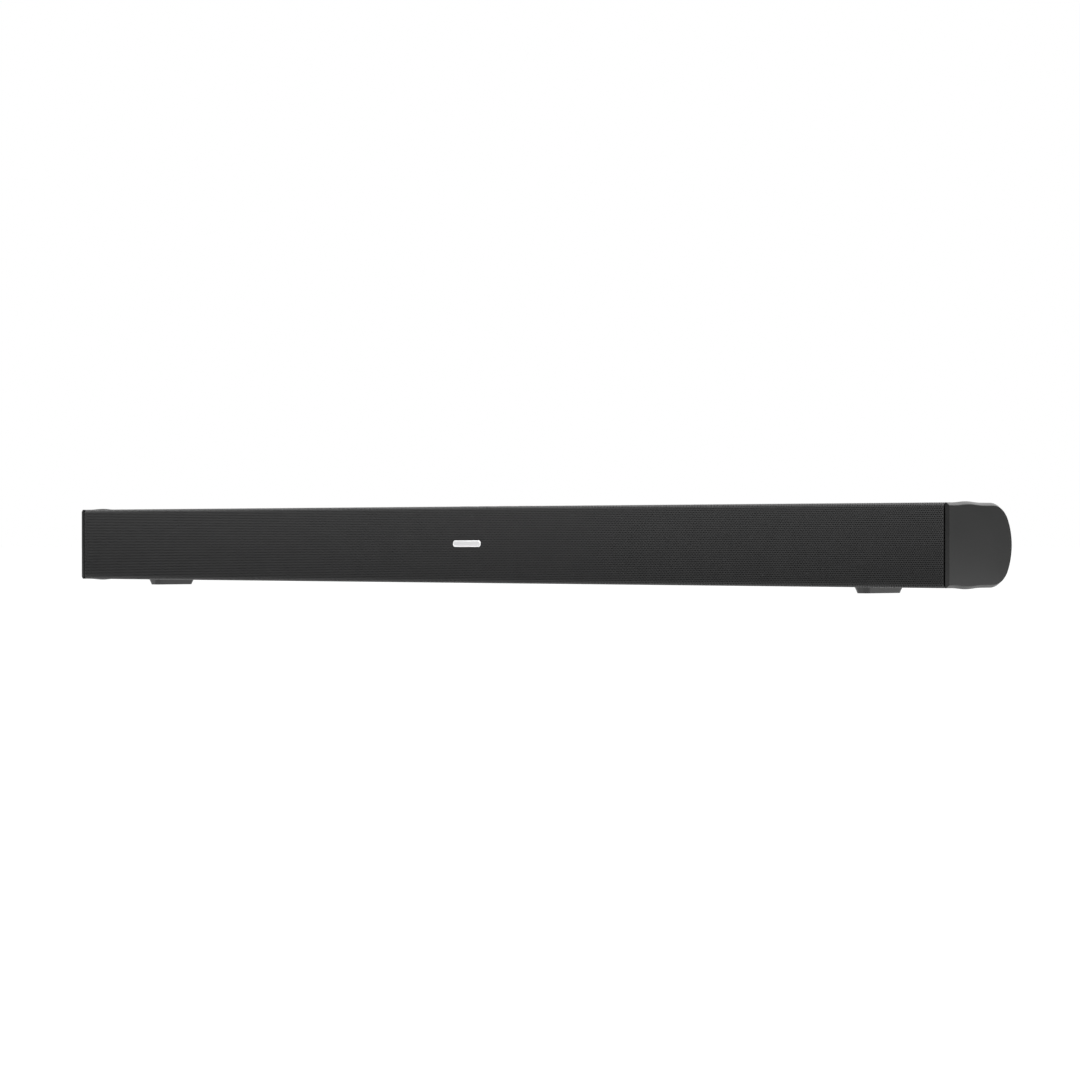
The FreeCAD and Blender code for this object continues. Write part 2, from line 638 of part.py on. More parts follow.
def foot(side, sign):
    """Rubber foot, glued in a shallow seat, narrower where it meets the table."""
    top = new_body(f"{side}_foot_body")
    sketch = foot_outline(top, f"{side}_foot", "0")
    pad(top, sketch, "foot_height", back=True, taper="-foot_taper")
    round_edges(top, f"{side}_foot_corners", "foot_corner", lambda edge: edge.BoundBox.ZLength > 1)
    root = new_body(f"{side}_foot_root")
    pad(root, foot_outline(root, f"{side}_foot_root", "0", SEAT_FRONT), "foot_seat")
    round_edges(root, f"{side}_root_corners", "foot_corner", lambda edge: edge.BoundBox.ZLength > 0.1)
    whole = fuse(f"{side}_foot", [top, root])
    node(place(whole, signed(sign, "foot_place"), "0", "0"), f"{side}_foot")


def driver_screw_places():
    for name, x in WOOFERS.items():
        for i, (side, way) in enumerate((a, b) for a in ("-", "+") for b in ("-", "+")):
            yield f"{name}_{i}", f"({x} {side} screw_spread)", f"({MID} {way} screw_spread)"
    for name, x in TWEETERS.items():
        for i, side in enumerate(("-", "+")):
            yield f"{name}_tweeter_{i}", f"({x} {side} tweeter_screw)", MID


def screws():
    """Four groups of identical fasteners."""
    flange_front = f"{BAFFLE_FRONT} - flange_thickness"
    node(group("baffle_screws", [screw(f"baffle_screw_{name}", x, BAFFLE_FRONT, z)
                                 for name, x, z in baffle_screw_places()]), "baffle_screws")
    node(group("driver_screws", [screw(f"driver_screw_{name}", x, flange_front, z,
                                       length="baffle_thickness + flange_thickness + 1")
                                 for name, x, z in driver_screw_places()]), "driver_screws")
    node(group("cap_screws", [screw(f"cap_screw_{name}", x, TAB_FRONT, z)
                              for name, x, z in cap_screw_places()]), "cap_screws")
    board_front = f"{BOARD_BACK} - board_thickness"
    node(group("board_screws", [screw(f"board_screw_{name}", x, board_front, z)
                                for name, x, z in post_places()]), "board_screws")
    node(group("panel_screws", [panel_screw(f"panel_screw_{name}", x, z)
                                for name, x, z in panel_screw_places()]), "panel_screws")


def panel_screw(name, x, z):
    """Driven from behind: its head is on the panel's outer face and its shank points forwards."""
    head = rod(name + "_head", "screw_head_radius", "screw_head_height", x, PANEL_FACE, z, "y")
    length = "(panel_thickness + recess_floor - 0.5)"
    shank = rod(name + "_shank", "screw_radius", f"{length} + screw_head_height / 2", x,
                f"{PANEL_FACE} - {length}", z, "y")
    return fuse(name, [head, shank])


def woofer(name, x):
    """A small round driver: basket, motor, moving cone, and its soft suspension."""
    front = f"({BAFFLE_FRONT} - flange_thickness)"
    throat = "(cone_radius + roll_width)"
    seat = block(f"{name}_flange", ("-flange / 2", "flange / 2"), ("0", "flange_thickness"),
                 ("-flange / 2", "flange / 2"))
    bowl = spin(f"{name}_bowl", [
        (f"{throat} - 0.5", "0"), (f"{throat} + 0.8", "0"), (f"{throat} + 0.8", "flange_thickness + 3.6"),
        ("magnet_radius + 0.5", "basket_depth"), ("coil_radius + 3", "basket_depth"),
        ("coil_radius + 3", "basket_depth - basket_skin"),
        ("magnet_radius - 0.5", "basket_depth - basket_skin"),
        (f"{throat} - 0.5", "flange_thickness + 3")])
    opening = rod(f"{name}_opening", f"{throat} - 0.5", "flange_thickness + 2", "0", "-1", "0", "y")
    windows = []
    for i, turn in enumerate((("-4.5", "4.5", "-30", "30"), ("-30", "30", "-4.5", "4.5"))):
        windows.append(block(f"{name}_window_{i}", turn[:2],
                             ("flange_thickness + 3.6", "basket_depth - basket_skin - 0.4"), turn[2:]))
    holes = [rod(f"{name}_flange_hole_{i}", "screw_radius + screw_gap", "flange_thickness + 2",
                 f"{a} * screw_spread", "-1", f"{b} * screw_spread", "y")
             for i, (a, b) in enumerate((a, b) for a in (-1, 1) for b in (-1, 1))]
    basket = cut(f"{name}_basket", fuse(f"{name}_basket_solid", [seat, bowl]),
                 [opening] + windows + holes)
    node(place(basket, x, front, MID), f"{name}_woofer_basket")

    gap_in = "(coil_radius - coil_gap)"
    gap_out = "(coil_radius + coil_skin + coil_gap)"
    floor = "(basket_depth + magnet_height)"
    motor = spin(f"{name}_motor", [
        (gap_out, "basket_depth"), ("magnet_radius", "basket_depth"), ("magnet_radius", floor),
        ("0", floor), ("0", POLE_FRONT), (gap_in, POLE_FRONT), (gap_in, f"{floor} - 3"),
        (gap_out, f"{floor} - 3")])
    node(place(motor, x, front, MID), f"{name}_woofer_motor")

    neck = "(basket_depth - 3)"
    lip = "0.3"
    hub = "(coil_radius + coil_skin)"
    cap_rise = f"({neck} - 2.2)"
    cone = spin(f"{name}_cone", [
        ("0", cap_rise), (hub, f"{neck} - cone_skin"), ("cone_radius", lip),
        ("cone_radius", f"{lip} + cone_skin"), (hub, f"{neck} + 0.4"),
        (hub, "basket_depth + coil_length"), ("coil_radius", "basket_depth + coil_length"),
        ("coil_radius", f"{neck} + 0.4"), ("0", f"{cap_rise} + cone_skin")])
    node(place(cone, x, front, MID), f"{name}_woofer_cone")

    roll = spin(f"{name}_roll", [
        ("cone_radius + 0.05", "0.3"), (f"{throat} - 0.6", "0.3"), (f"{throat} - 0.6", "0.8"),
        ("cone_radius + 0.05", "0.8")],
        {0: (("cone_radius + roll_width / 2 - 0.275", "0.3 - roll_height"),
             roll_radius("(roll_width - 0.65)")),
         2: (("cone_radius + roll_width / 2 - 0.275", "0.8 - roll_height"),
             roll_radius("(roll_width - 0.65)"))})
    damper = spin(f"{name}_damper", [
        (f"{hub} + 0.05", "basket_depth - 2.6"), ("damper_radius", "basket_depth - 2.6"),
        ("damper_radius", "basket_depth - basket_skin - 0.05"),
        ("damper_radius - 1", "basket_depth - basket_skin - 0.05"),
        ("damper_radius - 1", "basket_depth - 2.2"), (f"{hub} + 0.05", "basket_depth - 2.2")])
    node(place(group(f"{name}_suspension", [roll, damper]), x, front, MID),
         f"{name}_woofer_suspension")


def roll_radius(width):
    """Radius of an arc over this width that rises by the roll's height."""
    return f"(({width}^2 / 4 + roll_height^2) / (2 * roll_height))"


def tweeter(name, x):
    """A dome tweeter: face plate, motor and moving dome."""
    front = f"({BAFFLE_FRONT} - flange_thickness)"
    mouth = "(dome_radius + 0.5)"
    plate = rod(f"{name}_plate_disc", "tweeter_plate", "flange_thickness", "0", "0", "0", "y")
    gone = [rod(f"{name}_plate_mouth", mouth, "flange_thickness + 2", "0", "-1", "0", "y")]
    for i, side in enumerate((-1, 1)):
        gone.append(rod(f"{name}_plate_hole_{i}", "screw_radius + screw_gap", "flange_thickness + 2",
                        f"{side} * tweeter_screw", "-1", "0", "y"))
    node(place(cut(f"{name}_tweeter_plate", plate, gone), x, front, MID), f"{name}_tweeter_plate")
    rear = "(flange_thickness + tweeter_magnet_height)"
    motor = spin(f"{name}_tweeter_motor", [
        (mouth, "flange_thickness"), ("tweeter_magnet_radius", "flange_thickness"),
        ("tweeter_magnet_radius", rear), ("0", rear), ("0", "flange_thickness + 2"),
        ("dome_radius - 0.9", "flange_thickness + 2"), ("dome_radius - 0.9", f"{rear} - 2"),
        (mouth, f"{rear} - 2")])
    node(place(motor, x, front, MID), f"{name}_tweeter_motor")
    crown = "(dome_radius^2 / (2 * dome_height) + dome_height / 2)"
    seat = "(flange_thickness + 0.4)"
    dome = spin(f"{name}_tweeter_dome", [
        ("0", f"{seat} - dome_height"), ("dome_radius", seat), ("dome_radius", f"{seat} + 4"),
        ("dome_radius - 0.4", f"{seat} + 4"), ("dome_radius - 0.4", f"{seat} + 0.4"),
        ("0", f"{seat} + 0.4 - dome_height")],
        {0: ((f"{crown} * 0.5 * dome_radius / {crown}",
              f"{seat} - dome_height + {crown} - sqrt({crown}^2 - dome_radius^2 / 4)"), crown)})
    node(place(dome, x, front, MID), f"{name}_tweeter_dome")


def main_board():
    """Circuit board that stands behind the sockets, with its parts and heat sink on the front."""
    front = f"({BOARD_BACK} - board_thickness)"
    plate = block("board_plate", ("-board_half", "board_half"), (front, BOARD_BACK),
                  (f"{MID} - board_height / 2", f"{MID} + board_height / 2"))
    holes = [screw_hole(f"board_hole_{name}", x, f"{front} - 1", z, "board_thickness + 2")
             for name, x, z in post_places()]
    node(cut("main_board", plate, holes), "main_board")
    chips = []
    for i, (x, z, wide, high, tall) in enumerate(BOARD_CHIPS):
        chips.append(block(f"chip_{i}", (f"{x - wide / 2}", f"{x + wide / 2}"),
                           (f"{front} - {tall}", front),
                           (f"{MID} + {z - high / 2}", f"{MID} + {z + high / 2}")))
    for i, (x, z, radius, tall) in enumerate(BOARD_CANS):
        chips.append(rod(f"can_{i}", f"{radius}", f"{tall}", f"{x}", f"{front} - {tall}",
                         f"{MID} + {z}", "y"))
    node(group("board_components", chips), "board_components")
    base = f"({front} - 1.4)"
    fins = [block("sink_base", ("-22", "22"), (f"{base} - 2", base),
                  (f"{MID} - 16", f"{MID} + 16"))]
    for i in range(9):
        fins.append(block(f"sink_fin_{i}", (f"{-22 + 5.3 * i}", f"{-22 + 5.3 * i + 1.5}"),
                          (f"{base} - 11", f"{base} - 1.5"), (f"{MID} - 16", f"{MID} + 16")))
    node(fuse("heat_sink", fins), "heat_sink")


BOARD_CHIPS = [(0, 0, 14, 14, 1.4), (40, 4, 12, 12, 1.2), (40, -14, 8, 6, 1), (-36, -2, 10, 10, 4.5),
               (-36, 10, 10, 10, 4.5), (76, 2, 14, 12, 2.5)]
BOARD_CANS = [(-52, -16, 4, 11), (-52, 0, 4, 11), (-72, 10, 5, 12.5), (-72, -6, 5, 12.5)]


def connector_panel():
    """Flat panel in the recess at the back, with a window for each socket."""
    plate = block("panel_plate", ("-recess_half + fit_gap", "recess_half - fit_gap"),
                  ("recess_front", PANEL_FACE),
                  (f"{MID} - recess_height / 2 + fit_gap", f"{MID} + recess_height / 2 - fit_gap"))
    gone = []
    for name, (x, wide, high) in SOCKETS.items():
        gone.append(block(f"{name}_window", (f"{x} - {wide / 2} - fit_gap", f"{x} + {wide / 2} + fit_gap"),
                          ("recess_front - 1", f"{PANEL_FACE} + 1"),
                          (f"{MID} - {high / 2} - fit_gap", f"{MID} + {high / 2} + fit_gap")))
    for name, x, z in panel_screw_places():
        gone.append(screw_hole(f"plate_hole_{name}", x, "recess_front - 1", z, "panel_thickness + 2"))
    node(cut("connector_panel", plate, gone), "connector_panel")


SOCKETS = {"dc_inlet": ("dc_place", 11, 11), "optical_socket": ("optical_place", 12, 11),
           "aux_socket": ("aux_place", 11, 9), "usb_socket": ("usb_place", 14.6, 7.2),
           "hdmi_socket": ("hdmi_place", 16, 6.8)}


def socket_block(name):
    x, wide, high = SOCKETS[name]
    return block(f"{name}_block", (f"{x} - {wide / 2}", f"{x} + {wide / 2}"),
                 (BOARD_BACK, SOCKET_FACE), (f"{MID} - {high / 2}", f"{MID} + {high / 2}"))


def socket_cavity(name, wide, high, deep, rise="0"):
    x = SOCKETS[name][0]
    return block(f"{name}_cavity", (f"{x} - {wide / 2}", f"{x} + {wide / 2}"),
                 (f"{SOCKET_FACE} - {deep}", f"{SOCKET_FACE} + 1"),
                 (f"{MID} + {rise} - {high / 2}", f"{MID} + {rise} + {high / 2}"))


def socket_tongue(name, wide, high, deep, rise):
    x = SOCKETS[name][0]
    return block(f"{name}_tongue", (f"{x} - {wide / 2}", f"{x} + {wide / 2}"),
                 (f"{SOCKET_FACE} - {deep + 2}", f"{SOCKET_FACE} - 0.8"),
                 (f"{MID} + {rise} - {high / 2}", f"{MID} + {rise} + {high / 2}"))


def sockets():
    """Board-mounted sockets that face backwards through the panel."""
    dc = cut("dc_shell", socket_block("dc_inlet"),
             [rod("dc_barrel", "dc_bore", "10", "dc_place", f"{SOCKET_FACE} - 9.5", MID, "y")])
    pin = rod("dc_pin_rod", "dc_pin", "10", "dc_place", f"{SOCKET_FACE} - 11", MID, "y")
    node(fuse("dc_inlet", [dc, pin]), "dc_inlet")
    node(cut("aux_socket", socket_block("aux_socket"),
             [rod("aux_barrel", "aux_bore", "15", "aux_place", f"{SOCKET_FACE} - 14", MID, "y")]),
         "aux_socket")
    usb = cut("usb_shell", socket_block("usb_socket"), [socket_cavity("usb_socket", 12.6, 5.2, 12)])
    node(fuse("usb_socket", [usb, socket_tongue("usb_socket", 11, 1.8, 12, 1.2)]), "usb_socket")
    hdmi = cut("hdmi_shell", socket_block("hdmi_socket"), [socket_cavity("hdmi_socket", 14, 4.6, 10)])
    node(fuse("hdmi_socket", [hdmi, socket_tongue("hdmi_socket", 11.4, 1.2, 10, 0.6)]), "hdmi_socket")
    pivot_y = f"{SOCKET_FACE} - 1.2"
    pivot_z = f"{MID} + 3.2"
    node(cut("optical_socket", socket_block("optical_socket"), [
        socket_cavity("optical_socket", 9, 8.4, 11),
        rod("optical_pivot_hole", "pivot_radius + pivot_gap", "10.4", "optical_place - 5.2", pivot_y,
            pivot_z, "x")]), "optical_socket")
    leaf = block("flap_leaf", ("optical_place - 4.2", "optical_place + 4.2"),
                 (f"{pivot_y} - 0.4", f"{pivot_y} + 0.4"), (f"{MID} - 3.9", f"{pivot_z}"))
    barrel = rod("flap_barrel", "pivot_radius", "10", "optical_place - 5", pivot_y, pivot_z, "x")
    node(fuse("optical_flap", [leaf, barrel]), "optical_flap")


def buttons():
    """Four push buttons in the top, each over a small switch on the button board."""
    under = f"({TOP} - shell_wall)"
    board_top = f"({under} - button_board_drop)"
    switches = []
    for name, offset in BUTTONS.items():
        x = f"({offset} * button_pitch)"
        cap = pill(f"{name}_cap", x, "button_length / 2", "button_width / 2", f"{under} - 1",
                   "shell_wall + button_proud + 1")
        lip = pill(f"{name}_lip", x, "button_length / 2 + button_lip",
                   "button_width / 2 + button_lip", f"{under} - 1.1", "1")
        stem = rod(f"{name}_stem", "stem_radius", "stem_length + 1", x, "button_place",
                   f"{under} - 1 - stem_length", "z")
        node(fuse(f"{name}_button", [cap, lip, stem]), f"{name}_button")
        body = block(f"{name}_switch_body", (f"{x} - switch_side / 2", f"{x} + switch_side / 2"),
                     ("button_place - switch_side / 2", "button_place + switch_side / 2"),
                     (board_top, f"{board_top} + switch_height"))
        well = rod(f"{name}_switch_well", "stem_radius + 0.4", "switch_height", x, "button_place",
                   f"{board_top} + 1", "z")
        switches.append(cut(f"{name}_switch", body, [well]))
    node(group("button_switches", switches), "button_switches")
    long_half = "(2 * button_pitch + 4)"
    strip = block("button_strip", (f"-{long_half}", long_half), ("button_place - 7", "button_place + 7"),
                  (f"{board_top} - board_thickness", board_top))
    node(strip, "button_board")
    hangers = []
    for i, x in enumerate((f"(-{long_half} + 1.5)", f"({long_half} - 1.5)")):
        hangers.append(block(f"hanger_{i}", (f"{x} - 1.4", f"{x} + 1.4"),
                             ("button_place - 5", "button_place + 5"), (board_top, under)))
    node(group("button_board_posts", hangers), "button_board_posts")


def sensor():
    """Infrared window in the baffle and the small board behind it."""
    lens = rod("sensor_rod", "lens_radius", "baffle_thickness + 1.5", "lens_place",
               f"{BAFFLE_FRONT} - 0.5", MID, "y")
    collar = rod("sensor_collar", "lens_radius + 1.2", "1", "lens_place", BAFFLE_BACK, MID, "y")
    node(fuse("sensor_lens", [lens, collar]), "sensor_lens")
    near = f"({BAFFLE_BACK} + 1)"
    node(block("sensor_board", ("lens_place - 11", "lens_place + 11"), (near, f"{near} + board_thickness"),
               (f"{MID} - 9", f"{MID} + 9")), "sensor_board")


def wall_inserts():
    """Threaded brass inserts for a wall bracket, pressed into the back of the shell."""
    inserts = []
    for side, x in insert_places():
        tube = rod(f"{side}_insert_tube", "insert_radius", "insert_length", x,
                   f"{BACK} - 1 - insert_length", MID, "y")
        hole = rod(f"{side}_insert_bore", "insert_bore", "insert_length + 2", x,
                   f"{BACK} - 2 - insert_length", MID, "y")
        inserts.append(cut(f"{side}_insert", tube, [hole]))
    node(group("wall_inserts", inserts), "wall_inserts")


def speaker_leads():
    """A lead on each side, from the main board to the tweeter, along the inside of the back."""
    start_y = value(f"{BOARD_BACK} - board_thickness / 2")
    height = value(f"{MID} - lead_drop")
    corner = value("lead_bend")
    tubes = []
    for side in (-1, 1):
        first = FreeCAD.Vector(side * value("board_half"), start_y, height)
        turn = FreeCAD.Vector(side * value("tweeter_place"), start_y, height)
        last = FreeCAD.Vector(turn.x, value(f"{BAFFLE_FRONT} + tweeter_magnet_height + 6"), height)
        before = turn - FreeCAD.Vector(side * corner, 0, 0)
        after = turn - FreeCAD.Vector(0, corner, 0)
        knee = turn - FreeCAD.Vector(side, 1, 0) * corner * (1 - math.sqrt(0.5))
        path = Part.Wire([Part.LineSegment(first, before).toShape(),
                          Part.Arc(before, knee, after).toShape(),
                          Part.LineSegment(after, last).toShape()])
        ring = Part.Wire(Part.Circle(first, FreeCAD.Vector(side, 0, 0), value("lead_radius")).toShape())
        tubes.append(path.makePipeShell([ring], True, False))
    leads = doc.addObject("Part::Feature", "speaker_leads")
    leads.Shape = Part.makeCompound(tubes)
    leads.Placement = FreeCAD.Placement()
    node(leads, "speaker_leads")


rear_shell()
front_baffle()
baffle_gasket()
front_grille()
grille_frame()
badge()
for side_name, side_sign in SIDES.items():
    end_cap(side_name, side_sign)
    cap_gasket(side_name, side_sign)
    foot(side_name, side_sign)
screws()
for woofer_name, woofer_x in WOOFERS.items():
    woofer(woofer_name, woofer_x)
for tweeter_name, tweeter_x in TWEETERS.items():
    tweeter(tweeter_name, tweeter_x)
main_board()
connector_panel()
sockets()
buttons()
sensor()
wall_inserts()
speaker_leads()
doc.recompute()

faults = [f"{thing.Name}: {thing.State}" for thing in doc.Objects
          if "Invalid" in thing.State or "Error" in thing.State]
for piece in NODES:
    if piece.Shape.isNull() or not piece.Shape.isValid() or not piece.Shape.Solids:
        faults.append(f"{piece.Label}: no valid solid")
        continue
    bounds = piece.Shape.optimalBoundingBox()
    if not 0 < piece.Shape.Volume < bounds.XLength * bounds.YLength * bounds.ZLength * 1.001:
        faults.append(f"{piece.Label}: its volume is not possible")
    if piece.Label == "right_end_cap" and abs(bounds.XMax - value(CAP_FACE)) > 0.01:
        faults.append("right_end_cap: its plate is missing")
if faults:
    raise SystemExit("\n".join(faults))

os.makedirs("parts", exist_ok=True)
for piece in NODES:
    piece.Shape.exportStep(f"parts/{piece.Label}.step")
    box = piece.Shape.BoundBox
    print(f"{piece.Label}: {len(piece.Shape.Solids)} solids, {piece.Shape.Volume:.0f} mm3, "
          f"x {box.XMin:.1f} {box.XMax:.1f}, y {box.YMin:.1f} {box.YMax:.1f}, "
          f"z {box.ZMin:.1f} {box.ZMax:.1f}")
print(len(NODES), "pieces")
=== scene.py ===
import math

import bmesh
import bpy
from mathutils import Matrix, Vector


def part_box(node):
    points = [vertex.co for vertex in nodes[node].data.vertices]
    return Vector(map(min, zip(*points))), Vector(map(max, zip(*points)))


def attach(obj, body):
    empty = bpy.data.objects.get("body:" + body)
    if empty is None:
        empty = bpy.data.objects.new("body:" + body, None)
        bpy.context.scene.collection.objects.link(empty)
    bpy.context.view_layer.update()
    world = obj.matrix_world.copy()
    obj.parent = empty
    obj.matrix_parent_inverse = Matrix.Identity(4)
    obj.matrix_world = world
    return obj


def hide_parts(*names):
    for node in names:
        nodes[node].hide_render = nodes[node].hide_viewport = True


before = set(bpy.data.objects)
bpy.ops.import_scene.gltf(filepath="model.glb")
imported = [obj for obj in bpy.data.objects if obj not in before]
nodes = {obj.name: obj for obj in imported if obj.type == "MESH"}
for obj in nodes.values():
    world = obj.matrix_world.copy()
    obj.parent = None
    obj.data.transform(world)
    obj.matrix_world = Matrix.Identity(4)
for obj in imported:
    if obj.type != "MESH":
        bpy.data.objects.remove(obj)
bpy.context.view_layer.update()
scene = bpy.context.scene

# --- Camera -----------------------------------------------------------------------------------
# A level camera with a long lens, in front of the bar and to its right, a little above the
# middle of its height. Distances are from the middle of the grille's front plane.
grille_low, grille_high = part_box("front_grille")
front_y = grille_low[1]
body_low = grille_low[2]
body_high = grille_high[2]
body_height = body_high - body_low
middle_z = (body_low + body_high) / 2
mm = 0.001

camera_data = bpy.data.cameras.new("camera")
camera_data.sensor_width = 36
camera_data.lens = 129.07
camera_data.clip_end = 50
camera = bpy.data.objects.new("camera", camera_data)
right_of_middle, ahead_of_grille, above_middle = 2.1645, 2.1234, 0.0037
camera_yaw = 44.468
camera.location = (right_of_middle, front_y - ahead_of_grille, middle_z + above_middle)
camera.rotation_euler = (math.radians(90), 0, math.radians(camera_yaw))
scene.collection.objects.link(camera)
scene.camera = camera

# --- Studio -----------------------------------------------------------------------------------
# A wide pale floor under soft white light from all round, brighter from above, so that the
# black bar stands out by its outline and by the pale light along its edges.
scene.view_settings.view_transform = "Standard"


def new_object(name, mesh):
    """Puts a mesh in the scene as an object of its own at the origin."""
    thing = bpy.data.objects.new(name, mesh)
    scene.collection.objects.link(thing)
    return thing


def new_material(name, **settings):
    """A material with one Principled BSDF, whose constant inputs are given by name."""
    material = bpy.data.materials.new(name)
    material.use_nodes = True
    shader = material.node_tree.nodes["Principled BSDF"]
    for key, setting in settings.items():
        shader.inputs[key.replace("_", " ").title().replace("Ior", "IOR")].default_value = setting
    return material, material.node_tree, shader


floor_reach = 12
floor_mesh = bpy.data.meshes.new("floor")
floor_mesh.from_pydata(
    [(-floor_reach, -floor_reach, 0), (floor_reach, -floor_reach, 0), (floor_reach, floor_reach, 0),
     (-floor_reach, floor_reach, 0)], [], [(0, 1, 2, 3)])
floor = new_object("floor", floor_mesh)
floor_paint, floor_nodes, floor_shader = new_material(
    "floor_paint", base_color=(0.02, 0.02, 0.02, 1), roughness=1.0, specular_ior_level=0.0,
    emission_color=(1, 1, 1, 1))
floor_mesh.materials.append(floor_paint)


def feed(tree, socket, value):
    """Links an output to a node's input, or sets the input to a plain value."""
    if isinstance(value, bpy.types.NodeSocket):
        tree.links.new(value, socket)
    else:
        socket.default_value = value


def maths(tree, operation, *values):
    """A maths node fed by sockets or numbers; gives its output."""
    node = tree.nodes.new("ShaderNodeMath")
    node.operation = operation
    for socket, value in zip(node.inputs, values):
        feed(tree, socket, value)
    return node.outputs[0]


def ramp(tree, value, start, end, low, high):
    """A smooth step of a value between two levels."""
    node = tree.nodes.new("ShaderNodeMapRange")
    node.interpolation_type = "SMOOTHSTEP"
    settings = {"Value": value, "From Min": start, "From Max": end, "To Min": low, "To Max": high}
    for label, setting in settings.items():
        feed(tree, node.inputs[label], setting)
    return node.outputs[0]


def seen_as(tree, lit, level):
    """A light level that the camera itself sees as another, plain one."""
    seen = tree.nodes.new("ShaderNodeLightPath").outputs["Is Camera Ray"]
    lift = maths(tree, "MULTIPLY", seen, maths(tree, "SUBTRACT", level, lit))
    return maths(tree, "ADD", lit, lift)


# The floor glows most in a long pool around the bar, which lights the bar's lower edges.
glow_near, glow_far = 1.8, 0.3
pool_start, pool_end = 0.12, 0.26
pool_shape = (0.25, 1, 1)
floor_white, backdrop_white = 1.02, 1.0
place = floor_nodes.nodes.new("ShaderNodeTexCoord").outputs["Object"]
squash = floor_nodes.nodes.new("ShaderNodeVectorMath")
squash.operation = "MULTIPLY"
squash.inputs[1].default_value = pool_shape
floor_nodes.links.new(place, squash.inputs[0])
distance = floor_nodes.nodes.new("ShaderNodeVectorMath")
distance.operation = "LENGTH"
floor_nodes.links.new(squash.outputs[0], distance.inputs[0])
pool = ramp(floor_nodes, distance.outputs["Value"], pool_start, pool_end, glow_near, glow_far)
floor_nodes.links.new(seen_as(floor_nodes, pool, floor_white),
                      floor_shader.inputs["Emission Strength"])

world = bpy.data.worlds.new("studio")
world.use_nodes = True
scene.world = world
sky = world.node_tree
backdrop = sky.nodes["Background"]
backdrop.inputs["Color"].default_value = (1, 1, 1, 1)
direction = sky.nodes.new("ShaderNodeSeparateXYZ")
sky.links.new(sky.nodes.new("ShaderNodeTexCoord").outputs["Generated"], direction.inputs[0])
front_light, back_light, top_light = 0.3, 0.8, 3.4
sides = ramp(sky, direction.outputs["Y"], -0.5, 0.5, front_light, back_light)
above = ramp(sky, direction.outputs["Z"], 0.1, 0.85, 0.0, top_light)
around = maths(sky, "ADD", sides, above)
sky.links.new(seen_as(sky, around, backdrop_white), backdrop.inputs["Strength"])


def softbox(name, place, aim, size, power):
    """A square area light at a place, turned towards a point."""
    data = bpy.data.lights.new(name, "AREA")
    data.shape = "SQUARE"
    data.size = size
    data.energy = power
    light = bpy.data.objects.new(name, data)
    light.location = place
    light.rotation_euler = (Vector(aim) - Vector(place)).to_track_quat("-Z", "Y").to_euler()
    scene.collection.objects.link(light)


softbox("overhead", place=(0.1, -0.5, 2.2), aim=(0, 0, middle_z), size=1.6, power=12)

# --- Rear shell -------------------------------------------------------------------------------
# The D-shaped housing behind the grille, moulded in black ABS with a fine spark-eroded texture
# so that it hides fingerprints. The boards, drivers and end caps are all fixed to it.


def node_group(name, inputs, outputs):
    """A shader group with named inputs, given as kind and starting value, and named outputs."""
    group = bpy.data.node_groups.new(name, "ShaderNodeTree")
    for label, (kind, value) in inputs.items():
        socket = group.interface.new_socket(name=label, in_out="INPUT", socket_type=kind)
        socket.default_value = value
    for label, kind in outputs.items():
        group.interface.new_socket(name=label, in_out="OUTPUT", socket_type=kind)
    return group, group.nodes.new("NodeGroupInput"), group.nodes.new("NodeGroupOutput")


FLOAT, COLOUR, NORMAL = "NodeSocketFloat", "NodeSocketColor", "NodeSocketVector"


def noise(tree, vector, scale, detail=2):
    """Soft noise over a vector; gives its grey level."""
    texture = tree.nodes.new("ShaderNodeTexNoise")
    for label, value in (("Vector", vector), ("Scale", scale), ("Detail", detail)):
        feed(tree, texture.inputs[label], value)
    return texture.outputs["Fac"]


def bump(tree, height, strength, depth, beneath=None):
    """A bump of this full depth, on top of another normal if one is given; gives the normal."""
    node = tree.nodes.new("ShaderNodeBump")
    node.inputs["Distance"].default_value = depth
    feed(tree, node.inputs["Strength"], strength)
    feed(tree, node.inputs["Height"], height)
    if beneath:
        tree.links.new(beneath, node.inputs["Normal"])
    return node.outputs["Normal"]


def shaded(tree, colour, value):
    """A colour made lighter or darker by a value."""
    node = tree.nodes.new("ShaderNodeHueSaturation")
    tree.links.new(colour, node.inputs["Color"])
    tree.links.new(value, node.inputs["Value"])
    return node.outputs["Color"]


def build_moulded_skin():
    """Spark-eroded plastic: a fine pebbled bump, and slow changes in colour and gloss."""
    group, given, out = node_group("moulded_skin", {
        "Colour": (COLOUR, (0.02, 0.02, 0.02, 1)), "Grain Scale": (FLOAT, 1800.0),
        "Grain Depth": (FLOAT, 0.25), "Roughness": (FLOAT, 0.5), "Handling": (FLOAT, 0.06),
    }, {"Colour": COLOUR, "Roughness": FLOAT, "Normal": NORMAL})
    links = group.links
    place = group.nodes.new("ShaderNodeTexCoord").outputs["Object"]
    pebbles = noise(group, place, given.outputs["Grain Scale"])
    smears = noise(group, place, 28, 4)
    centred = maths(group, "SUBTRACT", smears, 0.5)
    swing = maths(group, "MULTIPLY", centred, given.outputs["Handling"])
    tone = maths(group, "MULTIPLY_ADD", swing, 3.0, 1.0)
    gloss = maths(group, "MULTIPLY_ADD", swing, 4.0, given.outputs["Roughness"])
    grain = bump(group, pebbles, given.outputs["Grain Depth"], 0.04 * mm)
    links.new(shaded(group, given.outputs["Colour"], tone), out.inputs["Colour"])
    links.new(gloss, out.inputs["Roughness"])
    links.new(grain, out.inputs["Normal"])
    return group


moulded_skin = build_moulded_skin()


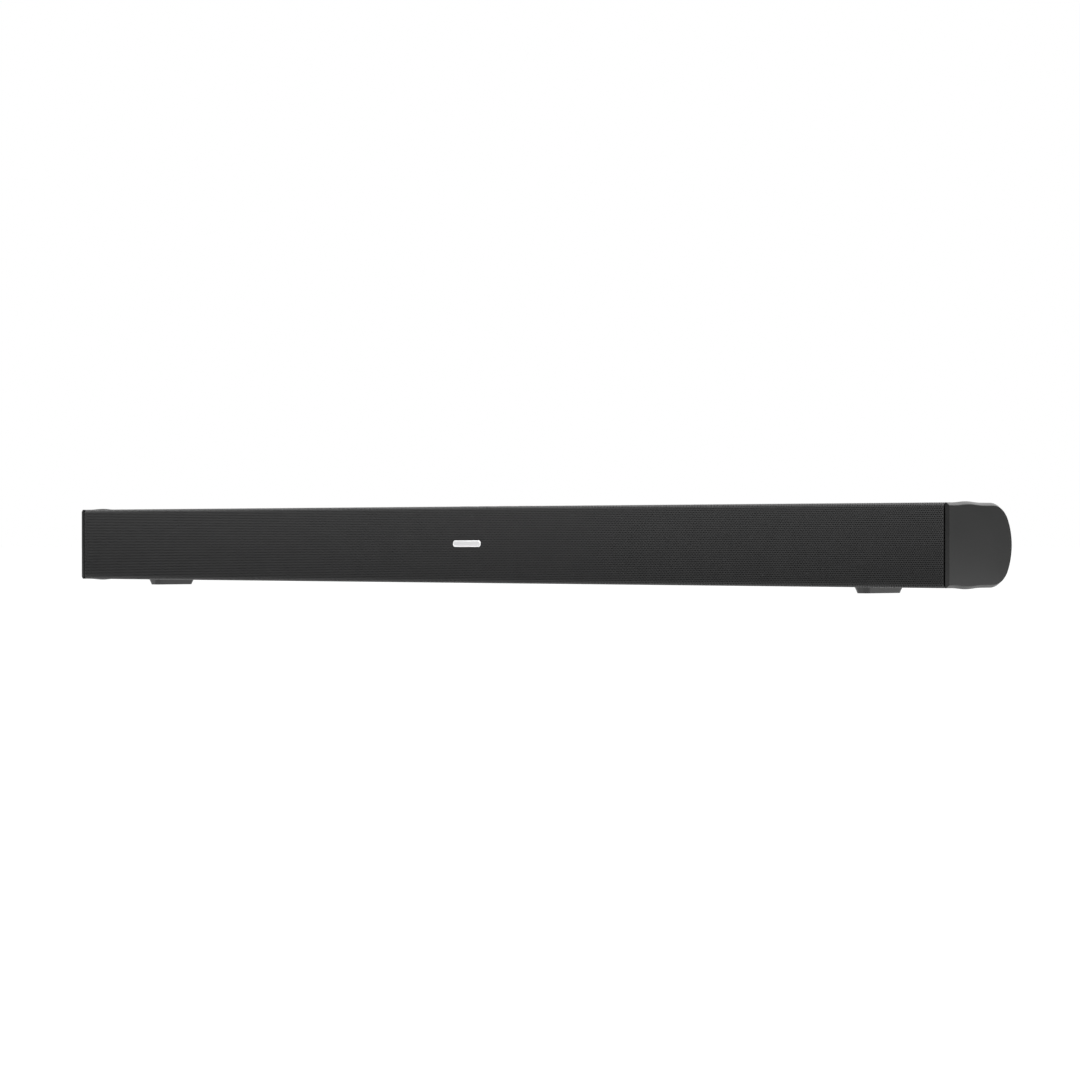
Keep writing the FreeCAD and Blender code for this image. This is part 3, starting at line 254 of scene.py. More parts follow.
def skinned(name, group, values, **settings):
    """A material whose colour, gloss and bump come from a shader group with these values."""
    material, tree, shader = new_material(name, **settings)
    skin = tree.nodes.new("ShaderNodeGroup")
    skin.node_tree = group
    for label, value in values.items():
        skin.inputs[label].default_value = value
    for label, socket in (("Colour", "Base Color"), ("Roughness", "Roughness"),
                          ("Normal", "Normal")):
        tree.links.new(skin.outputs[label], shader.inputs[socket])
    return material


def moulded_plastic(name, colour, roughness, grain_scale=1800.0, grain_depth=0.25, handling=0.06,
                    gloss=0.4):
    """A moulded plastic with its own colour, gloss and grain."""
    return skinned(name, moulded_skin, {
        "Colour": (*colour, 1), "Grain Scale": grain_scale, "Grain Depth": grain_depth,
        "Roughness": roughness, "Handling": handling}, specular_ior_level=gloss)


def paint(names, material):
    """Gives a finish to nodes of the frame that are shown as they are."""
    for name in names:
        slots = nodes[name].material_slots
        for slot in slots:
            slot.material = material
        if not slots:
            nodes[name].data.materials.append(material)


paint(["rear_shell"], moulded_plastic("shell_plastic", (0.008, 0.008, 0.0085), 0.5,
                                      grain_depth=0.4, gloss=0.3))

# --- End caps ---------------------------------------------------------------------------------
# Flat satin plates moulded in dark grey ABS, one at each end. The rim is sloped off all round and
# has a shallow arched swell above and below. A spigot plugs into the shell, and two screw tabs
# run in beside it.
cap_face_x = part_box("right_end_cap")[1][0]
cap_joint_x = cap_face_x - 3.3 * mm
joint_break = 0.25 * mm
bar_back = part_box("rear_shell")[1][1]
corner_radius = 20 * mm
back_radius = 42 * mm
swell_length = 33 * mm
swell_height = 0.88 * mm
swell_setback = 22.5 * mm
edge_slope = 2.6 * mm
edge_fall = 2.2 * mm
front_edge_fall = 0.7 * mm
# How far along the slope's depth, and how far down its fall, from the skin to the face.
edge_steps = ((1, 0), (0.9, 0.03), (0.8, 0.1), (0.12, 0.8), (0.05, 0.89), (0, 1))
spigot_inset = 2.7 * mm
spigot_wall = 2 * mm
spigot_length = 8.5 * mm
spigot_front = 6.1 * mm
tab_reach = (1 * mm, 22.5 * mm)
tab_depth = (16.1 * mm, 19.1 * mm)
tab_rise = (18.3 * mm, 27.3 * mm)


def arc(centre_y, centre_z, radius, start, end, steps):
    """Points along an arc in the YZ plane, angles in degrees from +Y towards +Z."""
    turns = [math.radians(start + (end - start) * i / steps) for i in range(steps + 1)]
    return [(centre_y + radius * math.cos(t), centre_z + radius * math.sin(t)) for t in turns]


def d_section(inset, front, swelled=False):
    """The bar's D outline, set in from its skin, from the lower front corner up and round."""
    half = body_height / 2 - inset
    back_centre = bar_back - back_radius
    reach = math.sqrt((back_radius - corner_radius) ** 2 - (body_height / 2 - corner_radius) ** 2)
    bend_y = back_centre + reach
    bend_z = body_height / 2 - corner_radius
    lean = math.degrees(math.atan2(bend_z, reach))
    top = [(front, half)]
    middle = front_y + swell_setback
    runs = 40
    for i in range(1, runs):
        y = front + (bend_y - front) * i / runs
        offset = (y - middle) / (swell_length / 2)
        rise = swell_height * (0.5 + 0.5 * math.cos(math.pi * offset)) if abs(offset) < 1 else 0
        top.append((y, half + (rise if swelled else 0)))
    top += arc(bend_y, bend_z, corner_radius - inset, 90, lean, 14)
    back = arc(back_centre, 0, back_radius - inset, lean, -lean, 16)[1:-1]
    bottom = [(y, -z) for y, z in reversed(top)]
    return [(y, z + middle_z) for y, z in top + back + bottom]


def skin_rings(mesh, rings, close_first=True, close_last=True):
    """Skins a row of matching outlines with quads, with a flat face at either end if asked."""
    loops = [[mesh.verts.new(point) for point in ring] for ring in rings]
    count = len(loops[0])
    for near, far in zip(loops, loops[1:]):
        for i in range(count):
            after = (i + 1) % count
            mesh.faces.new((near[i], near[after], far[after], far[i]))
    if close_first:
        mesh.faces.new(list(reversed(loops[0])))
    if close_last:
        mesh.faces.new(loops[-1])


def add_box(mesh, low, high):
    """A plain block between two corners."""
    corners = [mesh.verts.new((x, y, z)) for x in (low[0], high[0]) for y in (low[1], high[1])
               for z in (low[2], high[2])]
    for face in ((0, 1, 3, 2), (4, 6, 7, 5), (0, 4, 5, 1), (2, 3, 7, 6), (0, 2, 6, 4),
                 (1, 5, 7, 3)):
        mesh.faces.new([corners[i] for i in face])


def plain_mesh(name, mesh, turn_out=False):
    """Ends a working mesh, with its faces turned outwards if asked, and gives its data."""
    if turn_out:
        bmesh.ops.recalc_face_normals(mesh, faces=mesh.faces)
    data = bpy.data.meshes.new(name)
    mesh.to_mesh(data)
    mesh.free()
    return data


def finish_mesh(name, mesh, material, crease=35):
    """Turns a working mesh into a smooth-shaded object whose sharp edges stay sharp."""
    data = plain_mesh(name, mesh, turn_out=True)
    data.polygons.foreach_set("use_smooth", [True] * len(data.polygons))
    data.set_sharp_from_angle(angle=math.radians(crease))
    data.materials.append(material)
    return new_object(name, data)


cap_plastic = moulded_plastic("cap_plastic", (0.006, 0.0062, 0.006), 0.42, grain_scale=2600.0,
                              grain_depth=0.12, gloss=0.34)


def cap_profile():
    """Distance along X, inset of the outline and inset of its front, from the joint outwards."""
    profile = [(cap_joint_x, joint_break, joint_break), (cap_joint_x + joint_break, 0, 0)]
    for along, fallen in edge_steps:
        profile.append((cap_face_x - edge_slope * along, edge_fall * fallen,
                        front_edge_fall * fallen))
    return profile


def end_cap(name, side):
    """The plate with its sloped rim, the tube that plugs into the shell, and the two tabs."""
    mesh = bmesh.new()
    rings = []
    for x, inset, front_inset in cap_profile():
        front = front_y + front_inset
        stretch = (bar_back - front_inset - front) / (bar_back - inset - front)
        rings.append([(side * x, front + (y - front) * stretch, z)
                      for y, z in d_section(inset, front, swelled=True)])
    skin_rings(mesh, rings)
    spigot_end = cap_joint_x - spigot_length
    outer = d_section(spigot_inset, front_y + spigot_front)
    inner = d_section(spigot_inset + spigot_wall, front_y + spigot_front + spigot_wall)
    tube = [[(side * x, y, z) for y, z in section] for x, section in
            ((cap_joint_x, outer), (spigot_end, outer), (spigot_end, inner), (cap_joint_x, inner))]
    skin_rings(mesh, tube + tube[:1], False, False)
    bmesh.ops.remove_doubles(mesh, verts=mesh.verts, dist=0.000001)
    across = sorted(side * (cap_joint_x - reach) for reach in tab_reach)
    for way in (-1, 1):
        heights = sorted(middle_z + way * rise for rise in tab_rise)
        add_box(mesh, *[(across[i], front_y + tab_depth[i], heights[i]) for i in (0, 1)])
    piece = finish_mesh(name, mesh, cap_plastic, crease=20)
    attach(piece, "bar")
    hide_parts(name)


end_cap("right_end_cap", 1)
end_cap("left_end_cap", -1)

# --- Grille -----------------------------------------------------------------------------------
# One sheet of 0.8 mm steel, punched with staggered 1.1 mm holes, folded back over the top and the
# bottom edge and powder coated black. Its plain folded flanges grip the edges of the shell.
sheet = 0.8 * mm
pitch = 1.55 * mm
row_step = pitch * math.sqrt(3) / 2
hole_radius = 0.54 * mm
bend_radius = 3 * mm
grille_return = 10 * mm
weld_reach = 0.002 * mm
panel_count = 13
panel_columns = 47
hole_rows = 47
grille_half = grille_high[0]
flat_half = body_height / 2 - bend_radius
field_start = -(panel_count * panel_columns + 0.5) * pitch / 2
field_half = hole_rows * row_step / 2
flange_end = flat_half + bend_radius * math.pi / 2 + (grille_return - bend_radius)


def geometry_tree(name, inputs):
    """A geometry node tree with named inputs. Gives the tree, its input node and the identifier
    of each input."""
    tree = bpy.data.node_groups.new(name, "GeometryNodeTree")
    tree.interface.new_socket(name="Geometry", in_out="INPUT", socket_type="NodeSocketGeometry")
    names = {}
    for label, (kind, value) in inputs.items():
        socket = tree.interface.new_socket(name=label, in_out="INPUT", socket_type=kind)
        if value is not None:
            socket.default_value = value
        names[label] = socket.identifier
    tree.interface.new_socket(name="Geometry", in_out="OUTPUT", socket_type="NodeSocketGeometry")
    return tree, tree.nodes.new("NodeGroupInput"), names


def close_tree(tree, geometry, material):
    """Ends a tree: real geometry, one finish, and out."""
    real = tree.nodes.new("GeometryNodeRealizeInstances")
    finish = tree.nodes.new("GeometryNodeSetMaterial")
    out = tree.nodes.new("NodeGroupOutput")
    tree.links.new(geometry, real.inputs[0])
    tree.links.new(real.outputs[0], finish.inputs["Geometry"])
    tree.links.new(material, finish.inputs["Material"])
    tree.links.new(finish.outputs[0], out.inputs[0])


def run_tree(thing, tree, names, values):
    """Puts a tree on an object with these input values."""
    modifier = thing.modifiers.new(tree.name, "NODES")
    modifier.node_group = tree
    for label, value in values.items():
        modifier[names[label]] = value


def freeze(thing, crease=35):
    """Swaps an object's live modifiers for the plain mesh that they make."""
    bpy.context.view_layer.update()
    made = thing.evaluated_get(bpy.context.evaluated_depsgraph_get())
    data = bpy.data.meshes.new_from_object(made)
    data.name = thing.name
    thing.modifiers.clear()
    thing.data = data
    data.polygons.foreach_set("use_smooth", [True] * len(data.polygons))
    data.set_sharp_from_angle(angle=math.radians(crease))
    return thing


INTEGER, OBJECT, MATERIAL = "NodeSocketInt", "NodeSocketObject", "NodeSocketMaterial"


def combine(tree, x, y, z):
    """A vector of sockets or numbers."""
    node = tree.nodes.new("ShaderNodeCombineXYZ")
    for socket, value in zip(node.inputs, (x, y, z)):
        feed(tree, socket, value)
    return node.outputs[0]


def build_perforations():
    """Rows of punched cells, every other row shifted by half a pitch, laid out flat."""
    tree, given, names = geometry_tree("perforated_field", {
        "Cell": (OBJECT, None), "Columns": (INTEGER, 10), "Rows": (INTEGER, 10),
        "Pitch": (FLOAT, pitch), "Row Step": (FLOAT, row_step), "Start X": (FLOAT, 0.0),
        "Finish": (MATERIAL, None),
    })
    index = tree.nodes.new("GeometryNodeInputIndex").outputs[0]
    columns = given.outputs["Columns"]
    count = maths(tree, "MULTIPLY", columns, given.outputs["Rows"])
    row = maths(tree, "FLOOR", maths(tree, "DIVIDE", index, columns))
    column = maths(tree, "SUBTRACT", index, maths(tree, "MULTIPLY", row, columns))
    shift = maths(tree, "MULTIPLY", maths(tree, "MODULO", row, 2.0), 0.5)
    along = maths(tree, "ADD", maths(tree, "ADD", column, 0.5), shift)
    x = maths(tree, "MULTIPLY_ADD", along, given.outputs["Pitch"], given.outputs["Start X"])
    centre_row = maths(tree, "MULTIPLY", maths(tree, "SUBTRACT", given.outputs["Rows"], 1.0), 0.5)
    z = maths(tree, "MULTIPLY", maths(tree, "SUBTRACT", row, centre_row),
              given.outputs["Row Step"])
    points = tree.nodes.new("GeometryNodePoints")
    tree.links.new(count, points.inputs["Count"])
    tree.links.new(combine(tree, x, 0.0, z), points.inputs["Position"])
    cell = tree.nodes.new("GeometryNodeObjectInfo")
    tree.links.new(given.outputs["Cell"], cell.inputs["Object"])
    copies = tree.nodes.new("GeometryNodeInstanceOnPoints")
    tree.links.new(points.outputs[0], copies.inputs["Points"])
    tree.links.new(cell.outputs["Geometry"], copies.inputs["Instance"])
    real = tree.nodes.new("GeometryNodeRealizeInstances")
    weld = tree.nodes.new("GeometryNodeMergeByDistance")
    weld.inputs["Distance"].default_value = weld_reach
    tree.links.new(copies.outputs[0], real.inputs[0])
    tree.links.new(real.outputs[0], weld.inputs["Geometry"])
    close_tree(tree, weld.outputs[0], given.outputs["Finish"])
    return tree, names


def build_fold():
    """Folds a flat sheet back over the bar's top and bottom edges. Flat Z is the distance round
    the outside of the sheet from its middle line, and flat Y is the depth into the sheet."""
    tree, given, names = geometry_tree("folded_sheet", {
        "Flat Half": (FLOAT, flat_half), "Bend Radius": (FLOAT, bend_radius),
        "Front Y": (FLOAT, front_y), "Middle Z": (FLOAT, middle_z), "Finish": (MATERIAL, None),
    })
    radius = given.outputs["Bend Radius"]
    position = tree.nodes.new("GeometryNodeInputPosition")
    split = tree.nodes.new("ShaderNodeSeparateXYZ")
    tree.links.new(position.outputs[0], split.inputs[0])
    x, depth, reach = split.outputs
    away = maths(tree, "ABSOLUTE", reach)
    side = maths(tree, "SIGN", reach)
    past = maths(tree, "MAXIMUM", maths(tree, "SUBTRACT", away, given.outputs["Flat Half"]), 0.0)
    turn = maths(tree, "MINIMUM", maths(tree, "DIVIDE", past, radius), math.pi / 2)
    beyond = maths(tree, "SUBTRACT", past, maths(tree, "MULTIPLY", radius, turn))
    inner = maths(tree, "SUBTRACT", radius, depth)
    back = maths(tree, "MULTIPLY", inner, maths(tree, "COSINE", turn))
    y = maths(tree, "ADD", maths(tree, "SUBTRACT", radius, back), beyond)
    y = maths(tree, "ADD", y, given.outputs["Front Y"])
    level = maths(tree, "MINIMUM", away, given.outputs["Flat Half"])
    rise = maths(tree, "ADD", level, maths(tree, "MULTIPLY", inner, maths(tree, "SINE", turn)))
    z = maths(tree, "MULTIPLY_ADD", rise, side, given.outputs["Middle Z"])
    move = tree.nodes.new("GeometryNodeSetPosition")
    tree.links.new(given.outputs["Geometry"], move.inputs["Geometry"])
    tree.links.new(combine(tree, x, y, z), move.inputs["Position"])
    close_tree(tree, move.outputs[0], given.outputs["Finish"])
    return tree, names


def punched_cell():
    """One brick of sheet with a hole through it: both skins and the wall of the hole."""
    mesh = bmesh.new()
    half_x, half_z = pitch / 2, row_step / 2
    rim = [(0, half_z), (half_x, half_z), (half_x, -half_z), (0, -half_z), (-half_x, -half_z),
           (-half_x, half_z)]
    turns = [math.radians(90 - 60 * i) for i in range(6)]
    hole = [(hole_radius * math.cos(t), hole_radius * math.sin(t)) for t in turns]
    rings = [[(x, 0, z) for x, z in rim], [(x, 0, z) for x, z in hole],
             [(x, sheet, z) for x, z in hole], [(x, sheet, z) for x, z in rim]]
    skin_rings(mesh, rings, False, False)
    bmesh.ops.reverse_faces(mesh, faces=mesh.faces)
    return bpy.data.objects.new("punched_cell", plain_mesh("punched_cell", mesh))


def build_coated_steel():
    """Powder coat: orange-peel bump, speckled dust, and a painted lightening from Foot to Head."""
    group, given, out = node_group("coated_steel", {
        "Colour": (COLOUR, (0.02, 0.02, 0.02, 1)), "Peel Scale": (FLOAT, 1500.0),
        "Peel Depth": (FLOAT, 0.2), "Roughness": (FLOAT, 0.45), "Dust": (FLOAT, 0.05),
        "Settled": (FLOAT, 0.0), "Foot": (FLOAT, body_low), "Head": (FLOAT, body_high),
    }, {"Colour": COLOUR, "Roughness": FLOAT, "Normal": NORMAL})
    links = group.links
    place = group.nodes.new("ShaderNodeTexCoord").outputs["Object"]
    peel = noise(group, place, given.outputs["Peel Scale"])
    speck = noise(group, place, 60, 6)
    level = group.nodes.new("ShaderNodeSeparateXYZ")
    links.new(place, level.inputs[0])
    climb = group.nodes.new("ShaderNodeMapRange")
    links.new(level.outputs["Z"], climb.inputs["Value"])
    links.new(given.outputs["Foot"], climb.inputs["From Min"])
    links.new(given.outputs["Head"], climb.inputs["From Max"])
    # Painted light: the colour pales from Foot to Head, standing for the brighter light from above.
    top_light_paint = maths(group, "MULTIPLY", climb.outputs[0], given.outputs["Settled"])
    # The speckled dust plus the painted top light; together they pale the colour and raise the
    # roughness.
    dust = maths(group, "MULTIPLY_ADD", speck, given.outputs["Dust"], top_light_paint)
    blend = group.nodes.new("ShaderNodeMix")
    blend.data_type = "RGBA"
    blend.inputs["B"].default_value = (0.24, 0.24, 0.24, 1)
    links.new(dust, blend.inputs["Factor"])
    links.new(given.outputs["Colour"], blend.inputs["A"])
    links.new(blend.outputs["Result"], out.inputs["Colour"])
    links.new(maths(group, "ADD", given.outputs["Roughness"], dust), out.inputs["Roughness"])
    links.new(bump(group, peel, given.outputs["Peel Depth"], 0.03 * mm), out.inputs["Normal"])
    return group


coated_steel = build_coated_steel()


def powder_coat(name, colour, roughness, dust=0.05, painted_top_light=0.0):
    """A powder-coated steel with dust all over, and painted light that pales it towards the top."""
    return skinned(name, coated_steel, {
        "Colour": (*colour, 1), "Roughness": roughness, "Dust": dust, "Settled": painted_top_light},
        specular_ior_level=0.22)


# The grille's colour is painted lighter towards its top, for the light that falls from above.
grille_coat = powder_coat("grille_coat", (0.006, 0.006, 0.0062), 0.4, dust=0.02, painted_top_light=0.085)
perforations, perforation_inputs = build_perforations()
fold, fold_inputs = build_fold()
cell = punched_cell()


def fold_and_fix(piece):
    """Folds a flat piece of the sheet, which then stands for a part of the grille."""
    run_tree(piece, fold, fold_inputs, {
        "Flat Half": flat_half, "Bend Radius": bend_radius, "Front Y": front_y,
        "Middle Z": middle_z, "Finish": grille_coat})
    freeze(piece)
    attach(piece, "bar")
    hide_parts("front_grille")


for panel in range(panel_count):
    piece = new_object(f"grille_panel_{panel + 1}", bpy.data.meshes.new("panel"))
    run_tree(piece, perforations, perforation_inputs, {
        "Cell": cell, "Columns": panel_columns, "Rows": hole_rows, "Pitch": pitch,
        "Row Step": row_step, "Start X": field_start + panel * panel_columns * pitch,
        "Finish": grille_coat})
    fold_and_fix(piece)


def grille_edges():
    """The plain steel round the holes: a narrow strip at each end and the two folded flanges."""
    mesh = bmesh.new()
    field_length = panel_count * panel_columns * pitch

    def plate(x_low, x_high, z_low, z_high, walls):
        corners = [(x_low, z_low), (x_high, z_low), (x_high, z_high), (x_low, z_high)]
        front = [mesh.verts.new((x, 0, z)) for x, z in corners]
        back = [mesh.verts.new((x, sheet, z)) for x, z in corners]
        mesh.faces.new(front)
        mesh.faces.new(list(reversed(back)))
        for i in walls:
            after = (i + 1) % 4
            mesh.faces.new((front[i], back[i], back[after], front[after]))

    for row in range(hole_rows):
        z_low = row * row_step - field_half
        odd = row % 2 * pitch / 2
        plate(-grille_half, field_start + odd, z_low, z_low + row_step, [3])
        plate(field_start + odd + field_length, grille_half, z_low, z_low + row_step, [1])
    for way in (-1, 1):
        low, high = sorted((way * field_half, way * flange_end))
        plate(-grille_half, grille_half, low, high, [1, 3, 0 if way < 0 else 2])
    bmesh.ops.remove_doubles(mesh, verts=mesh.verts, dist=weld_reach)
    return new_object("grille_edges", plain_mesh("grille_edges", mesh))


fold_and_fix(grille_edges())

# --- Baffle, rim and foam ---------------------------------------------------------------------
# The moulded black board behind the grille that carries the drivers, the rim that the grille is
# glued to, and the foam strips that seal the joints.
baffle_plastic = moulded_plastic("baffle_plastic", (0.008, 0.008, 0.008), 0.7, grain_depth=0.5)
paint(["front_baffle", "grille_frame", "button_board_posts"], baffle_plastic)
foam = moulded_plastic("foam", (0.006, 0.006, 0.006), 0.95, grain_scale=900.0, grain_depth=1.0)
paint(["baffle_gasket", "left_cap_gasket", "right_cap_gasket"], foam)

# --- Feet -------------------------------------------------------------------------------------
# Two short silicone rubber feet, glued in seats in the underside, narrower at the table.
foot_rubber = moulded_plastic("foot_rubber", (0.004, 0.004, 0.004), 0.3, grain_depth=0.1,
                              gloss=0.35)
paint(["left_foot", "right_foot"], foot_rubber)

# --- Badge ------------------------------------------------------------------------------------
# A small blank plate of brushed aluminium with round ends and a chamfered rim, stuck to the
# front of the grille with adhesive film. It carries no lettering.
badge_low, badge_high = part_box("badge")
badge_chamfer = 0.3 * mm
dish_rim = 0.25 * mm
dish_step = 0.1 * mm
dish_depth = 0.08 * mm


def build_worked_metal():
    """Bare metal: fine tool marks along one direction, and slow changes in colour and gloss."""
    group, given, out = node_group("worked_metal", {
        "Colour": (COLOUR, (0.6, 0.6, 0.6, 1)), "Marks X": (FLOAT, 60.0),
        "Marks Y": (FLOAT, 4000.0), "Marks Z": (FLOAT, 4000.0), "Mark Depth": (FLOAT, 0.15),
        "Roughness": (FLOAT, 0.3), "Tarnish": (FLOAT, 0.2),
    }, {"Colour": COLOUR, "Roughness": FLOAT, "Normal": NORMAL})
    links = group.links
    place = group.nodes.new("ShaderNodeTexCoord").outputs["Object"]
    stretch = group.nodes.new("ShaderNodeVectorMath")
    stretch.operation = "MULTIPLY"
    scale = group.nodes.new("ShaderNodeCombineXYZ")
    for slot, label in enumerate(("Marks X", "Marks Y", "Marks Z")):
        links.new(given.outputs[label], scale.inputs[slot])
    links.new(place, stretch.inputs[0])
    links.new(scale.outputs[0], stretch.inputs[1])
    marks = noise(group, stretch.outputs[0], 1, 3)
    stains = noise(group, place, 90, 4)
    dull = maths(group, "MULTIPLY", stains, given.outputs["Tarnish"])
    tone = maths(group, "MULTIPLY_ADD", dull, -0.6, 1.0)
    gloss = maths(group, "MULTIPLY_ADD", marks, 0.08, given.outputs["Roughness"])
    links.new(shaded(group, given.outputs["Colour"], tone), out.inputs["Colour"])
    links.new(maths(group, "MULTIPLY_ADD", dull, 0.4, gloss), out.inputs["Roughness"])
    links.new(bump(group, marks, given.outputs["Mark Depth"], 0.02 * mm), out.inputs["Normal"])
    return group


worked_metal = build_worked_metal()


def bare_metal(name, colour, roughness, marks=(60, 4000, 4000), depth=0.15, tarnish=0.2):
    """An uncoated metal with its own colour, gloss and count of tool marks along each axis."""
    return skinned(name, worked_metal, {
        "Colour": (*colour, 1), "Marks X": marks[0], "Marks Y": marks[1], "Marks Z": marks[2],
        "Mark Depth": depth, "Roughness": roughness, "Tarnish": tarnish}, metallic=1.0)


def pill_ring(low, high, inset, steps=12):
    """A long round-ended outline between two corners (across, up), set in from its edge."""
    radius = (high[1] - low[1]) / 2
    middle = (low[1] + high[1]) / 2
    ends = ((high[0] - radius, -90), (low[0] + radius, 90))
    ring = []
    for centre, first in ends:
        for i in range(steps + 1):
            turn = math.radians(first + 180 * i / steps)
            ring.append((centre + (radius - inset) * math.cos(turn),
                         middle + (radius - inset) * math.sin(turn)))
    return ring


def badge_plate():
    """The plate, chamfered and with its face sunk a little inside a narrow rim."""
    mesh = bmesh.new()
    low, high = (badge_low[0], badge_low[2]), (badge_high[0], badge_high[2])
    face = badge_low[1]
    dish = badge_chamfer + dish_rim
    layers = ((badge_high[1], 0), (face + badge_chamfer, 0), (face, badge_chamfer), (face, dish),
              (face + dish_depth, dish + dish_step))
    skin_rings(mesh, [[(x, y, z) for x, z in pill_ring(low, high, inset)] for y, inset in layers])
    piece = finish_mesh("badge_plate", mesh, bare_metal(
        "badge_metal", (0.86, 0.86, 0.87), 0.36, marks=(300, 9000, 9000), tarnish=0.1))
    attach(piece, "bar")
    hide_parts("badge")


badge_plate()

# --- Screws -----------------------------------------------------------------------------------
# Zinc-plated self-tapping screws with pan heads and cross recesses. They hold the baffle, the
# drivers, the end caps, the board and the connector panel.
screw_steel = bare_metal("screw_steel", (0.42, 0.42, 0.44), 0.34, marks=(2500, 2500, 2500),
                         tarnish=0.5)
head_radius = 2.4 * mm
head_height = 1.6 * mm
shank_radius = 1.3 * mm
thread_pitch = 0.8 * mm
cross_half = 0.28 * mm
cross_arm = 1.25 * mm


def loose_boxes(name):
    """The lowest and highest corner of each separate solid in a node."""
    mesh = bmesh.new()
    mesh.from_mesh(nodes[name].data)
    bmesh.ops.remove_doubles(mesh, verts=mesh.verts, dist=0.000001)
    left = set(mesh.verts)
    boxes = []
    while left:
        front = [left.pop()]
        reached = []
        while front:
            vert = front.pop()
            reached.append(vert.co.copy())
            for edge in vert.link_edges:
                other = edge.other_vert(vert)
                if other in left:
                    left.remove(other)
                    front.append(other)
        boxes.append(tuple([pick(co[axis] for co in reached) for axis in range(3)]
                           for pick in (min, max)))
    mesh.free()
    return sorted(boxes)


def lathe(mesh, profile, steps=20, centre=(0, 0), close=True):
    """Turns (radius, y) points about an axis along Y."""
    rings = []
    for radius, y in profile:
        turns = [2 * math.pi * i / steps for i in range(steps)]
        rings.append([(centre[0] + radius * math.cos(t), y, centre[1] + radius * math.sin(t))
                      for t in turns])
    skin_rings(mesh, rings, close, close)


def screw_blank(length):
    """One screw whose head rests on y = 0, with its thread turned as a stack of ridges."""
    mesh = bmesh.new()
    profile = [(head_radius * 0.55, -head_height), (head_radius * 0.85, -head_height * 0.85),
               (head_radius, -head_height * 0.45), (head_radius, 0), (shank_radius * 0.8, 0)]
    for i in range(int(length / thread_pitch) - 1):
        y = thread_pitch * (i + 0.5)
        profile += [(shank_radius * 0.78, y), (shank_radius, y + thread_pitch / 2)]
    profile += [(shank_radius * 0.7, length - 0.5 * mm), (0.2 * mm, length)]
    lathe(mesh, profile, 16)
    blank = new_object("screw_blank", plain_mesh("screw_body", mesh, turn_out=True))
    cross = bmesh.new()
    half, arm = cross_half, cross_arm
    outline = [(half, half), (half, arm), (-half, arm), (-half, half), (-arm, half),
               (-arm, -half), (-half, -half), (-half, -arm), (half, -arm), (half, -half),
               (arm, -half), (arm, half)]
    skin_rings(cross, [[(x * taper, y, z * taper) for x, z in outline]
                       for y, taper in ((-head_height * 1.2, 1.0), (-head_height * 0.3, 0.75))])
    tool = new_object("cross_tool", plain_mesh("cross_recess", cross, turn_out=True))
    sink = blank.modifiers.new("recess", "BOOLEAN")
    sink.operation = "DIFFERENCE"
    sink.object = tool
    freeze(blank, 30)
    bpy.data.objects.remove(tool)
    scene.collection.objects.unlink(blank)
    return blank


def build_fixings():
    """Puts one shape at every point of a mesh, turned about the X axis."""
    tree, given, names = geometry_tree("fixings", {
        "Shape": (OBJECT, None), "Turn": (FLOAT, 0.0), "Finish": (MATERIAL, None)})
    shape = tree.nodes.new("GeometryNodeObjectInfo")
    tree.links.new(given.outputs["Shape"], shape.inputs["Object"])
    copies = tree.nodes.new("GeometryNodeInstanceOnPoints")
    tree.links.new(given.outputs["Geometry"], copies.inputs["Points"])
    tree.links.new(shape.outputs["Geometry"], copies.inputs["Instance"])
    tree.links.new(combine(tree, given.outputs["Turn"], 0.0, 0.0), copies.inputs["Rotation"])
    close_tree(tree, copies.outputs[0], given.outputs["Finish"])
    return tree, names


fixings, fixing_inputs = build_fixings()


def set_shapes(name, shape, places, material, turn=0.0):
    """Sets a copy of a shape at each place and gives the plain mesh."""
    points = bpy.data.meshes.new(name)
    points.from_pydata(places, [], [])
    piece = new_object(name, points)
    run_tree(piece, fixings, fixing_inputs, {"Shape": shape, "Turn": turn, "Finish": material})
    return freeze(piece, 30)


def drive_screws(name, backwards=False):
    """Puts a screw where each solid of a node is, with its head forward or at the back."""
    places = []
    for low, high in loose_boxes(name):
        seat = high[1] - head_height if backwards else low[1] + head_height
        places.append(((low[0] + high[0]) / 2, seat, (low[2] + high[2]) / 2))
    shape = screw_blank(high[1] - low[1] - head_height)
    piece = set_shapes(name + "_driven", shape, places, screw_steel, math.pi if backwards else 0.0)
    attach(piece, "bar")
    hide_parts(name)


for screw_group in ("baffle_screws", "driver_screws", "cap_screws", "board_screws"):
    drive_screws(screw_group)
drive_screws("panel_screws", backwards=True)

# --- Woofers ----------------------------------------------------------------------------------
# Four small paper-cone drivers screwed to the baffle. Each has a pressed steel basket, a ferrite
# motor with plated plates, a coated pulp cone and a rubber roll round it.
woofer_names = ("left_outer", "left_inner", "right_inner", "right_outer")


def ringed_finish(name, colour, roughness, rings, depth, grain_scale):
    """A grained finish with ridges stepped along the drivers' axis, which ring a cone or dome."""
    material = moulded_plastic(name, colour, roughness, grain_scale=grain_scale, grain_depth=depth,
                               handling=0.14)
    tree = material.node_tree
    wave = tree.nodes.new("ShaderNodeTexWave")
    wave.wave_type = "BANDS"
    wave.bands_direction = "Y"
    wave.inputs["Scale"].default_value = rings
    wave.inputs["Distortion"].default_value = 1.5
    tree.links.new(tree.nodes.new("ShaderNodeTexCoord").outputs["Object"], wave.inputs["Vector"])
    shader = tree.nodes["Principled BSDF"]
    grain = shader.inputs["Normal"].links[0].from_socket
    ridges = bump(tree, wave.outputs["Fac"], 0.4, 0.03 * mm, grain)
    tree.links.new(ridges, shader.inputs["Normal"])
    return material


